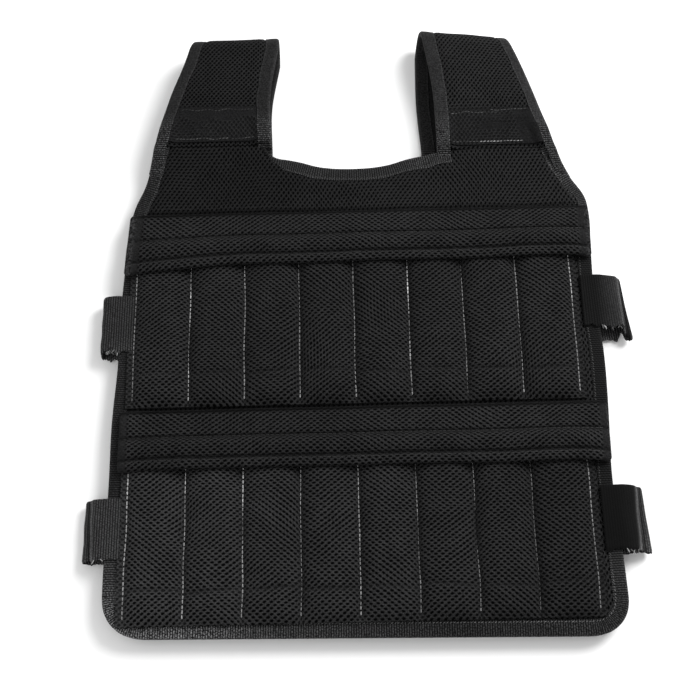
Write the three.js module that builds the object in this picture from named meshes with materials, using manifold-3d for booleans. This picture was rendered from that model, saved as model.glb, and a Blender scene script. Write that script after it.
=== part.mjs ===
// Weighted vest lying on its back: two padded mesh panels bound with tape, shoulder straps folded
// over at the top, two rows of sewn pockets under ridged flaps, and webbing loops at the sides.
// Millimetres. X runs across the vest, Y from the hem to the shoulders, Z up from the surface.
import * as THREE from 'three';
import { mergeVertices } from 'three/addons/utils/BufferGeometryUtils.js';
import Module from 'manifold-3d';

const wasm = await Module();
wasm.setup();

// Overall outline
const vestWidth = 440; // widest, near the hem
const vestLength = 602; // hem to shoulder fold
const hemRadiusLeft = 34;
const hemRadiusRight = 30;
const hemRise = 6; // the hem's left end lies this much higher
const backInset = 2; // the back panel is cut this much smaller all round

// Cloth and tape
const padThickness = 5.8;
const rimThickness = 2.4; // pad pressed flat inside the tape and in the shoulder joint
const tapeWidth = 13;
const tapeThickness = 1.2;
const gap = 0.3; // clearance between sewn pieces

// How the vest lies
const torsoGap = 6; // between back and front panel below the chest
const foldHeight = 38; // top of the shoulder folds
const liftClearance = 5; // the front starts to rise this far above the upper flap's seam

// Neck and shoulders
const neckDepth = 148; // from the shoulder fold down to the front edge of the scoop
const neckRise = 20; // from the scoop's bottom to its corners
const neckLeft = 82; // corners of the front scoop, out from the centre line
const neckRight = 84;
const jointDropLeft = 121; // from the fold down to the strap's sewn front end
const jointDropRight = 126;
const jointLap = 34; // overlap of strap and front panel
const foldSlantLeft = 0.02; // rise of the fold's crest per millimetre across
const foldSlantRight = -0.13;
const strapMiddle = 117; // the slanted folds turn about this distance out from the centre line
const patchThickness = 1;

// Pockets
const pocketsPerRow = 8;
const pocketMargin = 20; // from the vest's widest line to the outermost pocket
const pocketWall = 2;
const pocketFlank = 2.4; // wall at the sewn sides
const pocketHollow = 7.5; // height of the space inside
const mouthDrop = 40; // from the flap's seam down to the pocket mouth
const rowShift = -1.5; // the rows sit a little left of the centre line

// Flaps
const lowerSeam = 208; // lower flap's seam above the hem
const rowPitch = 200; // from the lower flap's seam to the upper one's
const flapMargin = 4; // from the vest's widest line to the flap's end
const flapShift = 4.5; // the flaps sit a little right of the centre line
const flapHeight = 59;
const flapThickness = 4.5;
const upperFlapDrop = 7; // the upper flap hangs this much lower at its left end
const seamClearance = 6; // from the lower flap's seam to the pockets above it

// Side loops of webbing
const webbingWidth = 50;
const webbingThickness = 2;
const lowerLoop = 101; // middle of the lower loops above the hem
const upperLoop = 295;
const loopReach = 25; // past the edge of the panels
const loopLap = 13; // how far the webbing lies on the panels

// Outline of the panels and straps: height as a share of the length, sides as shares of half the width
const outlineRows = [
  { up: 0.0, left: 1.0, right: 1.02 },
  { up: 0.1, left: 1.002, right: 1.013 },
  { up: 0.24, left: 0.997, right: 1.0 },
  { up: 0.33, left: 0.997, right: 1.012 },
  { up: 0.42, left: 0.984, right: 1.018 },
  { up: 0.53, left: 0.98, right: 1.002 },
  { up: 0.61, left: 0.968, right: 1.008 },
  { up: 0.665, left: 0.957, right: 1.014 },
  { up: 0.7, left: 0.935, right: 1.0 },
  { up: 0.727, left: 0.902, right: 0.953 },
  { up: 0.757, left: 0.881, right: 0.911 },
  { up: 0.815, left: 0.848, right: 0.862 },
  { up: 0.88, left: 0.798, right: 0.808 },
  { up: 0.945, left: 0.735, right: 0.752 },
  { up: 1.0, left: 0.697, right: 0.702 },
];

// Curve of the neck scoop: distance across as a share of the corner, height as a share of the rise
const neckRows = [
  { across: 1.0, up: 1.0 },
  { across: 0.9, up: 0.68 },
  { across: 0.75, up: 0.54 },
  { across: 0.6, up: 0.4 },
  { across: 0.42, up: 0.17 },
  { across: 0.22, up: 0.04 },
  { across: 0.0, up: 0.0 },
];

// Inner edges of the straps: along is 0 at the joint and 1 at the fold, edges as shares of half the width
const strapInnerRows = [
  { along: 0.0, leftFront: 0.35, leftBack: 0.35, rightFront: 0.372, rightBack: 0.309 },
  { along: 0.5, leftFront: 0.352, leftBack: 0.352, rightFront: 0.364, rightBack: 0.296 },
  { along: 1.0, leftFront: 0.314, leftBack: 0.316, rightFront: 0.33, rightBack: 0.3 },
];

// Pocket along its length from the bottom seam to the mouth, and how full it is there
const pocketRows = [
  { along: 0.0, full: 0.0 },
  { along: 0.035, full: 0.6 },
  { along: 0.09, full: 0.97 },
  { along: 0.155, full: 1.0 },
  { along: 0.19, full: 0.88 },
  { along: 0.225, full: 1.0 },
  { along: 0.65, full: 1.03 },
  { along: 1.0, full: 0.9 },
];

// Flap from its seam down: lift of the underside and thickness, as shares
const flapRows = [
  { down: 0.0, lift: 0.0, thick: 0.4 },
  { down: 0.08, lift: 0.02, thick: 0.85 },
  { down: 0.22, lift: 0.12, thick: 1.05 },
  { down: 0.36, lift: 0.35, thick: 0.85 },
  { down: 0.45, lift: 0.6, thick: 0.5 },
  { down: 0.55, lift: 0.88, thick: 0.85 },
  { down: 0.66, lift: 1.0, thick: 1.0 },
  { down: 0.78, lift: 1.0, thick: 0.8 },
  { down: 0.83, lift: 1.0, thick: 0.5 },
  { down: 0.91, lift: 1.0, thick: 0.75 },
  { down: 1.0, lift: 1.0, thick: 0.5 },
];

// Flap across its width: place and lift as shares, and how much of the left end's drop it takes
const flapStations = [
  { across: -1.0, lift: 0.3, drop: 1.0 },
  { across: -0.965, lift: 0.62, drop: 1.0 },
  { across: -0.88, lift: 1.0, drop: 0.9 },
  { across: -0.55, lift: 1.0, drop: 0.2 },
  { across: 0.0, lift: 1.0, drop: 0.0 },
  { across: 0.55, lift: 1.0, drop: -0.1 },
  { across: 0.86, lift: 1.0, drop: -0.3 },
  { across: 0.955, lift: 0.62, drop: -0.4 },
  { across: 1.0, lift: 0.3, drop: -0.4 },
];

// Side loops: side of the vest, how far the loop is pulled up and spread, as shares of the webbing's
// width, and its reach at the lower and the upper edge, as shares of the usual one
const loopRows = [
  { name: 'left_upper', side: -1, level: upperLoop, rise: 0, spread: 1.12, low: 0.72, high: 0.68 },
  { name: 'left_lower', side: -1, level: lowerLoop, rise: 0, spread: 1.08, low: 0.84, high: 0.8 },
  { name: 'right_upper', side: 1, level: upperLoop, rise: 0.17, spread: 1.22, low: 1.32, high: 1.04 },
  { name: 'right_lower', side: 1, level: lowerLoop, rise: 0, spread: 1.16, low: 1.16, high: 1.0 },
];

// Section of a side loop from the front panel round to the back one: out as a share of the reach,
// up as a share of the height between the two ends, measured from the lower end
const loopSection = [
  { out: 0.0, up: 1.0 },
  { out: 0.3, up: 0.93 },
  { out: 0.65, up: 0.72 },
  { out: 0.92, up: 0.38 },
  { out: 1.0, up: 0.04 },
  { out: 0.9, up: -0.28 },
  { out: 0.65, up: -0.42 },
  { out: 0.35, up: -0.34 },
  { out: 0.12, up: -0.1 },
];

const materials = {
  mesh: new THREE.MeshStandardMaterial({ color: 0x17171a, roughness: 0.95, metalness: 0 }),
  tape: new THREE.MeshStandardMaterial({ color: 0x222226, roughness: 0.8, metalness: 0 }),
  webbing: new THREE.MeshStandardMaterial({ color: 0x26262a, roughness: 0.7, metalness: 0 }),
  patch: new THREE.MeshStandardMaterial({ color: 0x1b1b1e, roughness: 0.75, metalness: 0 }),
};

// Levels worked out from the sizes above
const padHalf = padThickness / 2;
const rimHalf = rimThickness / 2;
const tapeHalf = rimHalf + gap + tapeThickness;
const jointStep = rimThickness + gap; // the strap lies this much above the front panel's middle
const chestMiddle = padThickness + torsoGap + padHalf; // middle height of the front panel
const chestTop = chestMiddle + padHalf;
const foldRadius = (foldHeight - padThickness) / 2; // of the strap's middle
const foldY = vestLength - foldRadius - padHalf;
const neckY = vestLength - neckDepth;
const liftStart = lowerSeam + rowPitch + liftClearance;
const liftLength = foldY - liftStart;
const pocketPitch = (vestWidth - 2 * pocketMargin) / pocketsPerRow;
const flapWidth = vestWidth - 2 * flapMargin;
const foldSteps = 10;
const runSteps = 3;
const bendSteps = 8;
const cornerSteps = 5;

function interpolate(rows, key, column, at) {
  const last = rows.length - 1;
  let i = 0;
  while (i < last - 1 && at > rows[i + 1][key]) {
    i += 1;
  }
  const span = rows[i + 1][key] - rows[i][key];
  const t = Math.min(Math.max((at - rows[i][key]) / span, 0), 1);
  return rows[i][column] + (rows[i + 1][column] - rows[i][column]) * t;
}

function jointY(side) {
  return vestLength - (side < 0 ? jointDropLeft : jointDropRight);
}

function outlineX(side, y) {
  const column = side < 0 ? 'left' : 'right';
  return side * interpolate(outlineRows, 'up', column, y / vestLength) * (vestWidth / 2);
}

// Middle height of the front panel, flat below the chest and rising to the fold
function frontMiddle(y) {
  const t = Math.min(Math.max((y - liftStart) / liftLength, 0), 1);
  const top = foldHeight - padHalf - jointStep;
  return chestMiddle + (top - chestMiddle) * t * t * (3 - 2 * t);
}

function flatMiddle() {
  return padHalf;
}

// Points moved sideways by a distance, to the left of the direction of travel if it is positive
function shifted(points, distance) {
  return points.map((point, i) => {
    const before = points[Math.max(i - 1, 0)];
    const after = points[Math.min(i + 1, points.length - 1)];
    const along = after.clone().sub(before).normalize();
    return new THREE.Vector2(point.x - along.y * distance, point.y + along.x * distance);
  });
}

// Sides and hem from the left shoulder down and up to the right shoulder
function edgePath() {
  const points = [];
  const heights = outlineRows.map((row) => row.up * vestLength);
  const inner = (side, radius) => heights.filter((y) => y > radius + gap && y < jointY(side) - tapeWidth);
  points.push(new THREE.Vector2(outlineX(-1, jointY(-1)), jointY(-1) - gap));
  for (const y of inner(-1, hemRadiusLeft).reverse()) {
    points.push(new THREE.Vector2(outlineX(-1, y), y));
  }
  for (let i = 0; i <= cornerSteps; i += 1) {
    const angle = Math.PI + (i / cornerSteps) * (Math.PI / 2);
    const centreX = outlineX(-1, 0) + hemRadiusLeft;
    points.push(new THREE.Vector2(
      centreX + hemRadiusLeft * Math.cos(angle),
      hemRise + hemRadiusLeft + hemRadiusLeft * Math.sin(angle),
    ));
  }
  for (let i = 0; i <= cornerSteps; i += 1) {
    const angle = 1.5 * Math.PI + (i / cornerSteps) * (Math.PI / 2);
    const centreX = outlineX(1, 0) - hemRadiusRight;
    points.push(new THREE.Vector2(
      centreX + hemRadiusRight * Math.cos(angle),
      hemRadiusRight + hemRadiusRight * Math.sin(angle),
    ));
  }
  for (const y of inner(1, hemRadiusRight)) {
    points.push(new THREE.Vector2(outlineX(1, y), y));
  }
  points.push(new THREE.Vector2(outlineX(1, jointY(1)), jointY(1) - gap));
  return points;
}

// Neck scoop from its left top down and up to its right top
function neckPath(left, right) {
  const points = [new THREE.Vector2(-left, jointY(-1) - gap)];
  for (const row of neckRows) {
    points.push(new THREE.Vector2(-left * row.across, neckY + neckRise * row.up));
  }
  for (const row of neckRows.slice(0, -1).reverse()) {
    points.push(new THREE.Vector2(right * row.across, neckY + neckRise * row.up));
  }
  points.push(new THREE.Vector2(right, jointY(1) - gap));
  return points;
}

// The same for an edge of a panel, whose two ends stay at the height of the shoulder joint
function insetPath(path, distance) {
  const points = shifted(path, distance);
  points[0].y = jointY(-1) - gap;
  points[points.length - 1].y = jointY(1) - gap;
  return points;
}

// Panel outline moved in from the sides and the neck
function panelOutline(edge, neck, inset) {
  return insetPath(edge, inset).concat(insetPath(neck, -inset).reverse());
}

function solid(geometry) {
  geometry.deleteAttribute('normal');
  geometry.deleteAttribute('uv');
  const merged = mergeVertices(geometry, 1e-4);
  return new wasm.Manifold(new wasm.Mesh({
    numProp: 3,
    vertProperties: new Float32Array(merged.attributes.position.array),
    triVerts: new Uint32Array(merged.index.array),
  }));
}

function geometryOf(manifold) {
  const mesh = manifold.getMesh();
  const geometry = new THREE.BufferGeometry();
  geometry.setAttribute('position', new THREE.BufferAttribute(mesh.vertProperties, 3));
  geometry.setIndex(new THREE.BufferAttribute(mesh.triVerts, 1));
  return geometry;
}

// Prism of an outline in X and Y, tall enough to cut any layer of the vest
function prism(points) {
  const geometry = new THREE.ExtrudeGeometry(new THREE.Shape(points), {
    depth: 3 * foldHeight,
    bevelEnabled: false,
  });
  geometry.translate(0, 0, -foldHeight);
  return solid(geometry);
}

// Layer of cloth that follows a middle height, as wide as the vest
function layer(middle, half, yEnd) {
  const start = -vestLength / 10;
  const stations = [start, liftStart];
  for (let i = 1; i <= bendSteps; i += 1) {
    stations.push(liftStart + ((yEnd - liftStart) * i) / bendSteps);
  }
  const upper = stations.map((y) => new THREE.Vector2(y, middle(y) + half));
  const lower = stations.map((y) => new THREE.Vector2(y, middle(y) - half)).reverse();
  const geometry = new THREE.ExtrudeGeometry(new THREE.Shape(upper.concat(lower)), {
    depth: 2 * vestWidth,
    bevelEnabled: false,
  });
  const turn = new THREE.Matrix4().set(0, 0, 1, -vestWidth, 1, 0, 0, 0, 0, 1, 0, 0, 0, 0, 0, 1);
  geometry.applyMatrix4(turn);
  return solid(geometry);
}

// Closed solid through rings of equally many points, with flat ends
function loft(rings) {
  const count = rings[0].length;
  const positions = [];
  for (const ring of rings) {
    for (const point of ring) {
      positions.push(point.x, point.y, point.z);
    }
  }
  const faces = [];
  for (let r = 0; r < rings.length - 1; r += 1) {
    for (let i = 0; i < count; i += 1) {
      const a = r * count + i;
      const b = r * count + ((i + 1) % count);
      faces.push([a, b, b + count], [a, b + count, a + count]);
    }
  }
  const lastRing = (rings.length - 1) * count;
  for (const face of capFaces(rings[0])) {
    faces.push([face[2], face[1], face[0]]);
  }
  for (const face of capFaces(rings[rings.length - 1])) {
    faces.push(face.map((i) => i + lastRing));
  }
  const inward = volumeOf(positions, faces) < 0;
  const index = faces.flatMap((face) => (inward ? [face[2], face[1], face[0]] : face));
  const geometry = new THREE.BufferGeometry();
  geometry.setAttribute('position', new THREE.Float32BufferAttribute(positions, 3));
  geometry.setIndex(index);
  return geometry;
}

// Triangles over a flat ring, worked out in the plane where the ring is largest
function capFaces(ring) {
  const normal = new THREE.Vector3();
  ring.forEach((point, i) => {
    const next = ring[(i + 1) % ring.length];
    normal.add(point.clone().cross(next));
  });
  const size = [Math.abs(normal.x), Math.abs(normal.y), Math.abs(normal.z)];
  const axis = size.indexOf(Math.max(...size));
  const flat = ring.map((point) => {
    const values = [point.x, point.y, point.z];
    return new THREE.Vector2(values[(axis + 1) % 3], values[(axis + 2) % 3]);
  });
  const clockwise = THREE.ShapeUtils.isClockWise(flat);
  const order = flat.map((point, i) => i);
  if (clockwise) {
    order.reverse();
  }
  const faces = THREE.ShapeUtils.triangulateShape(order.map((i) => flat[i]), []);
  return faces.map((face) => {
    const corners = face.map((i) => order[i]);
    return clockwise ? corners.reverse() : corners;
  });
}

function volumeOf(positions, faces) {
  const corner = (i) => new THREE.Vector3().fromArray(positions, 3 * i);
  return faces.reduce((sum, face) => {
    const [a, b, c] = face.map(corner);
    return sum + a.dot(b.cross(c)) / 6;
  }, 0);
}

const vest = new THREE.Group();

function addNode(name, geometry, material) {
  const mesh = new THREE.Mesh(geometry, material.clone());
  mesh.name = name;
  vest.add(mesh);
}

// Padded panels: a thick middle and a thin rim that goes inside the tape
const frontEdge = edgePath();
const backEdge = insetPath(frontEdge, backInset);
const frontNeck = neckPath(neckLeft, neckRight);
const backNeck = neckPath(strapInner(-1, 'Back', 0), strapInner(1, 'Back', 0));

function panel(edge, neck, middle, reach) {
  const pad = prism(panelOutline(edge, neck, tapeWidth + gap));
  const rim = prism(panelOutline(edge, neck, tapeThickness + gap));
  return pad.intersect(layer(middle, padHalf, reach)).add(rim.intersect(layer(middle, rimHalf, reach)));
}

// Flat tongue of the front panel that the strap is sewn to
function tongue(side) {
  const inset = tapeWidth + 2 * gap;
  const low = jointY(side) - tapeWidth;
  const high = jointY(side) + jointLap;
  const corners = [low, high].map((y) => {
    const outer = outlineX(side, y) - side * inset;
    const inner = side * strapInner(side, 'Front', 0) + side * inset;
    return [new THREE.Vector2(outer, y), new THREE.Vector2(inner, y)];
  });
  const outline = [corners[0][0], corners[0][1], corners[1][1], corners[1][0]];
  return prism(outline).intersect(layer(frontMiddle, rimHalf, high));
}

function strapInner(side, face, along) {
  const column = (side < 0 ? 'left' : 'right') + face;
  return interpolate(strapInnerRows, 'along', column, along) * (vestWidth / 2);
}

addNode('back_panel', geometryOf(panel(backEdge, backNeck, flatMiddle, vestLength)), materials.mesh);
const frontBody = panel(frontEdge, frontNeck, frontMiddle, vestLength);
const frontWhole = frontBody.add(tongue(-1)).add(tongue(1));
addNode('front_panel', geometryOf(frontWhole), materials.mesh);

// Binding tape: a channel round the panel's rim, placed by distance in from the edge and height
const tapeSection = [
  { into: 0, up: -tapeHalf },
  { into: tapeWidth, up: -tapeHalf },
  { into: tapeWidth, up: -tapeHalf + tapeThickness },
  { into: tapeThickness, up: -tapeHalf + tapeThickness },
  { into: tapeThickness, up: tapeHalf - tapeThickness },
  { into: tapeWidth, up: tapeHalf - tapeThickness },
  { into: tapeWidth, up: tapeHalf },
  { into: 0, up: tapeHalf },
];

function tapeAlong(path, side, middle) {
  const columns = tapeSection.map((corner) => insetPath(path, side * corner.into));
  const rings = path.map((station, i) => tapeSection.map((corner, k) => {
    const point = columns[k][i];
    return new THREE.Vector3(point.x, point.y, middle(point.y) + corner.up);
  }));
  return loft(rings);
}

addNode('back_edge_tape', tapeAlong(backEdge, 1, flatMiddle), materials.tape);
addNode('back_neck_tape', tapeAlong(backNeck, -1, flatMiddle), materials.tape);
addNode('front_edge_tape', tapeAlong(frontEdge, 1, frontMiddle), materials.tape);
addNode('front_neck_tape', tapeAlong(frontNeck, -1, frontMiddle), materials.tape);

// Shoulder straps: stations from the front joint over the fold to the back panel. Each has its
// middle point, its outward direction, how far it is from joint to fold, and half its thickness.
function strapStations(side) {
  const stations = [];
  const end = jointY(side);
  const thinEnd = end + jointLap;
  const thickStart = thinEnd + tapeWidth;
  const heights = [end, (end + thinEnd) / 2, thinEnd, thickStart];
  for (let i = 1; i <= runSteps; i += 1) {
    heights.push(thickStart + ((foldY - thickStart) * i) / runSteps);
  }
  for (const y of heights) {
    const half = y <= thinEnd ? rimHalf : padHalf;
    stations.push({ y, z: frontMiddle(y) + jointStep, out: [0, 1], half, face: 0 });
  }
  for (let i = 1; i <= foldSteps; i += 1) {
    const angle = (i / foldSteps) * Math.PI;
    const out = [Math.sin(angle), Math.cos(angle)];
    const y = foldY + foldRadius * out[0];
    const z = padHalf + foldRadius + foldRadius * out[1];
    stations.push({ y, z, out, half: padHalf, face: i / foldSteps });
  }
  for (let i = 1; i <= runSteps; i += 1) {
    const y = foldY - ((foldY - end) * i) / runSteps;
    stations.push({ y, z: padHalf, out: [0, -1], half: padHalf, face: 1 });
  }
  return stations;
}

// Point of a strap at a station: distance across from the centre line and height off its middle
function strapPoint(station, side, x, up) {
  const along = Math.min((station.y - jointY(side)) / (foldY - jointY(side)), 1);
  const slant = side < 0 ? foldSlantLeft : foldSlantRight;
  const lean = slant * (x - side * strapMiddle) * along * along;
  return new THREE.Vector3(x, station.y + lean + station.out[0] * up, station.z + station.out[1] * up);
}

function strapEdges(station, side) {
  const along = Math.min((station.y - jointY(side)) / (foldY - jointY(side)), 1);
  const front = strapInner(side, 'Front', along);
  const back = strapInner(side, 'Back', along);
  const inner = side * (front + (back - front) * station.face);
  const outer = outlineX(side, station.y) - side * backInset * station.face;
  return { inner, outer };
}

function strapPad(side) {
  const rimStart = tapeThickness + gap;
  const padStart = tapeWidth + gap;
  return loft(strapStations(side).map((station) => {
    const { inner, outer } = strapEdges(station, side);
    const profile = [
      [inner + side * rimStart, rimHalf],
      [inner + side * padStart, rimHalf],
      [inner + side * (padStart + gap), station.half],
      [outer - side * (padStart + gap), station.half],
      [outer - side * padStart, rimHalf],
      [outer - side * rimStart, rimHalf],
    ];
    const under = profile.map(([x, up]) => [x, -up]).reverse();
    return profile.concat(under).map(([x, up]) => strapPoint(station, side, x, up));
  }));
}

function strapTape(side, isOuter) {
  return loft(strapStations(side).map((station) => {
    const { inner, outer } = strapEdges(station, side);
    const start = isOuter ? outer : inner;
    const into = isOuter ? -side : side;
    return tapeSection.map((corner) => strapPoint(station, side, start + into * corner.into, corner.up));
  }));
}

// Smooth patch on the sewn end of a strap
function shoulderPatch(side) {
  const inset = tapeWidth + 2 * gap;
  const low = rimHalf + gap;
  const high = low + patchThickness;
  const thinStations = strapStations(side).filter((station) => station.half === rimHalf);
  return loft(thinStations.map((station) => {
    const { inner, outer } = strapEdges(station, side);
    const a = inner + side * inset;
    const b = outer - side * inset;
    const corners = [[a, low], [b, low], [b, high], [a, high]];
    return corners.map(([x, up]) => strapPoint(station, side, x, up));
  }));
}

for (const side of [-1, 1]) {
  const word = side < 0 ? 'left' : 'right';
  addNode(`shoulder_strap_${word}`, strapPad(side), materials.mesh);
  addNode(`strap_tape_${word}_outer`, strapTape(side, true), materials.tape);
  addNode(`strap_tape_${word}_inner`, strapTape(side, false), materials.tape);
  addNode(`shoulder_patch_${word}`, shoulderPatch(side), materials.patch);
}

// Pocket: an arched wall sewn down at both sides and at the bottom, open at the mouth
const archSteps = 6;
const archPower = 2.6;

function arch(t) {
  return Math.sqrt(1 - Math.abs(t) ** archPower);
}

function pocket(centreX, bottom, mouth) {
  const outerHalf = pocketPitch / 2 - gap / 2;
  const innerHalf = outerHalf - pocketFlank;
  const floor = chestTop + gap;
  return loft(pocketRows.map((row) => {
    const y = bottom + (mouth - bottom) * row.along;
    const hollow = pocketHollow * row.full;
    const outerArch = [];
    const innerArch = [];
    for (let i = 0; i <= archSteps; i += 1) {
      const t = -Math.cos((i / archSteps) * Math.PI);
      const height = i === 0 || i === archSteps ? 0 : hollow * arch(t);
      outerArch.push(new THREE.Vector3(centreX + outerHalf * t, y, floor + pocketWall + height));
      innerArch.push(new THREE.Vector3(centreX + innerHalf * t, y, floor + height));
    }
    const feet = [
      new THREE.Vector3(centreX + outerHalf, y, floor),
      new THREE.Vector3(centreX - outerHalf, y, floor),
    ];
    return [...outerArch, feet[0], ...innerArch.reverse(), feet[1]];
  }));
}

const rows = [
  { word: 'lower', bottom: tapeWidth + 2, seam: lowerSeam, drop: 0 },
  { word: 'upper', bottom: lowerSeam + seamClearance, seam: lowerSeam + rowPitch, drop: upperFlapDrop },
];

for (const row of rows) {
  for (let i = 0; i < pocketsPerRow; i += 1) {
    const centreX = rowShift + (i - (pocketsPerRow - 1) / 2) * pocketPitch;
    const geometry = pocket(centreX, row.bottom, row.seam - mouthDrop);
    addNode(`${row.word}_pocket_${i + 1}`, geometry, materials.mesh);
  }
}

// Flap: sewn along its top, lifted over the pocket mouths, with two ridges and a hem
function flap(seam, drop) {
  const fullest = Math.max(...pocketRows.map((row) => row.full));
  const lift = pocketHollow * fullest + pocketWall + gap;
  return loft(flapStations.map((station) => {
    const x = flapShift + station.across * (flapWidth / 2);
    const height = flapHeight + drop * station.drop;
    const under = [];
    const over = [];
    for (const row of flapRows) {
      const y = seam - height * row.down;
      const z = chestTop + gap + lift * row.lift * station.lift;
      under.push(new THREE.Vector3(x, y, z));
      over.push(new THREE.Vector3(x, y, z + flapThickness * row.thick));
    }
    return over.concat(under.reverse());
  }));
}

for (const row of rows) {
  addNode(`${row.word}_flap`, flap(row.seam, row.drop), materials.mesh);
}

// Side loop: webbing from the front panel's face out, round and back onto the back panel
function sideLoop(loop) {
  const half = webbingThickness / 2;
  const topEnd = chestTop + gap + half;
  const bottomEnd = padThickness + gap + half;
  const middleY = loop.level + loop.rise * webbingWidth;
  const edge = Math.abs(outlineX(loop.side, middleY));
  return loft([[-1, loop.low], [1, loop.high]].map(([end, share]) => {
    const y = middleY + (end * loop.spread * webbingWidth) / 2;
    const reach = share * loopReach;
    const middle = [new THREE.Vector2(edge - loopLap, topEnd)];
    for (const row of loopSection) {
      const z = bottomEnd + (topEnd - bottomEnd) * row.up;
      middle.push(new THREE.Vector2(edge + (reach - half) * row.out, z));
    }
    middle.push(new THREE.Vector2(edge - backInset, bottomEnd));
    middle.push(new THREE.Vector2(edge - loopLap, bottomEnd));
    const band = shifted(middle, half).concat(shifted(middle, -half).reverse());
    return band.map((point) => new THREE.Vector3(loop.side * point.x, y, point.y));
  }));
}

for (const loop of loopRows) {
  addNode(`side_loop_${loop.name}`, sideLoop(loop), materials.webbing);
}

// The origin is under the middle of the whole vest, on the surface that it lies on
const box = new THREE.Box3().setFromObject(vest);
const centre = box.getCenter(new THREE.Vector3());
vest.position.set(-centre.x, -centre.y, -box.min.z);

export default vest;
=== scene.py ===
# Weighted vest lying on its back: padded mesh panels bound with tape, folded shoulder straps, two rows of
# sewn pockets under ridged flaps, and webbing loops at the sides.
# Sizes in the dictionaries are millimetres on the pattern: x = 0 on the centre line, y = 0 at the hem,
# z = 0 on the floor. toFrame turns them into metres in the frame.
import math

import bpy
import numpy as np
from mathutils import Matrix, Vector
from mathutils.geometry import delaunay_2d_cdt


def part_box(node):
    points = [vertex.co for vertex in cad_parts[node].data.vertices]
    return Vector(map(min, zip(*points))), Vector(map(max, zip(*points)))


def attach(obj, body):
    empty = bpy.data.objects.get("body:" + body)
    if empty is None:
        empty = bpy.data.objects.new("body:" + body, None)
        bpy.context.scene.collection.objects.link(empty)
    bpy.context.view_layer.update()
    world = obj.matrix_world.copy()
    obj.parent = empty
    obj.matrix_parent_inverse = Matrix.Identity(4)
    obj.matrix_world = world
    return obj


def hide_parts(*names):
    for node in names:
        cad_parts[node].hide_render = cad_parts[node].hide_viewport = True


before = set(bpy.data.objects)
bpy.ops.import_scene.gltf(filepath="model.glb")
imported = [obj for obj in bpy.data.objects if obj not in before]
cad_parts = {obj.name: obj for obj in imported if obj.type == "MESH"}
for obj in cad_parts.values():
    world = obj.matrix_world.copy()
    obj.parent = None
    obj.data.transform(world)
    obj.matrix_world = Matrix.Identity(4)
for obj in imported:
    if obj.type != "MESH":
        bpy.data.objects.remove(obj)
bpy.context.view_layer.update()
print("frame loaded:", len(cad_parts), "nodes")

flapMiddle = 0.0045  # the flaps sit this far right of the pattern's centre line
flapLow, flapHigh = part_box("upper_flap")
patternX = (flapLow.x + flapHigh.x) / 2 - flapMiddle
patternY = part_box("front_edge_tape")[0].y  # the hem


def toFrame(points):
    return np.asarray(points, float) * 0.001 + np.array([patternX, patternY, 0.0])


# Camera, light and floor
view = {
    "target": (-12.68, -41.0, 20.0),  # millimetres in the frame
    "distance": 1.283,
    "elevation": math.radians(66.0),
    "roll": math.radians(1.35),
    "lens": 73.0,
}
light = {
    "sky": 0.66,
    "keyPlace": (1.15, 0.75, 1.25),
    "keySize": 1.1,
    "keyPower": 42.0,
    "fillPlace": (-0.9, -0.5, 1.3),
    "fillSize": 1.4,
    "fillPower": 5.0,
    "floor": {"Base Color": (0.93, 0.93, 0.93, 1.0), "Roughness": 0.9, "Specular IOR Level": 0.1},
    "floorSize": 12.0,
}


def newObject(name, data):
    made = bpy.data.objects.new(name, data)
    bpy.context.scene.collection.objects.link(made)
    return made


def newMaterial(name, values):
    made = bpy.data.materials.new(name)
    made.use_nodes = True
    shader = made.node_tree.nodes["Principled BSDF"]
    for socket, value in values.items():
        shader.inputs[socket].default_value = value
    return made, made.node_tree, shader


def makeCamera():
    lens = bpy.data.cameras.new("camera")
    lens.lens = view["lens"]
    lens.sensor_width = 36.0
    lens.clip_start = 0.01
    target = Vector(view["target"]) * 0.001
    rise = view["elevation"]
    forward = Vector((0.0, math.cos(rise), -math.sin(rise)))
    level = Vector((1.0, 0.0, 0.0))
    upright = Vector((0.0, math.sin(rise), math.cos(rise)))
    right = level * math.cos(view["roll"]) - upright * math.sin(view["roll"])
    up = level * math.sin(view["roll"]) + upright * math.cos(view["roll"])
    camera = newObject("camera", lens)
    axes = Matrix((right, up, -forward)).transposed().to_4x4()
    camera.matrix_world = Matrix.Translation(target - forward * view["distance"]) @ axes
    bpy.context.scene.camera = camera


def makeLight(name):  # a round soft light, turned to the middle of the floor
    lamp = bpy.data.lights.new(name, "AREA")
    lamp.shape = "DISK"
    lamp.size = light[name + "Size"]
    lamp.energy = light[name + "Power"]
    made = newObject(name, lamp)
    made.location = light[name + "Place"]
    made.rotation_euler = Vector(light[name + "Place"]).to_track_quat("Z", "Y").to_euler()


def makeStudio():
    world = bpy.data.worlds.new("studio")
    world.use_nodes = True
    sky = world.node_tree.nodes["Background"]
    sky.inputs["Color"].default_value = (1.0, 1.0, 1.0, 1.0)
    sky.inputs["Strength"].default_value = light["sky"]
    bpy.context.scene.world = world
    bpy.context.scene.view_settings.view_transform = "Standard"
    makeLight("key")
    makeLight("fill")
    bpy.ops.mesh.primitive_plane_add(size=light["floorSize"])
    floor = bpy.context.active_object
    floor.name = "floor"
    floor.data.materials.append(newMaterial("floor", light["floor"])[0])


bpy.ops.object.select_all(action="DESELECT")
makeCamera()
makeStudio()
print("camera, light and floor ready")


# Node helpers that the cloths share
def node(tree, kind, inputs=(), **settings):
    made = tree.nodes.new(kind)
    for key, value in settings.items():
        setattr(made, key, value)
    for socket, value in dict(inputs).items():
        if isinstance(value, bpy.types.NodeSocket):
            tree.links.new(value, made.inputs[socket])
        else:
            made.inputs[socket].default_value = value
    return made


def maths(tree, operation, first, second=0.0):
    return node(tree, "ShaderNodeMath", {0: first, 1: second}, operation=operation).outputs[0]


def times(tree, first, second):
    return maths(tree, "MULTIPLY", first, second)


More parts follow.
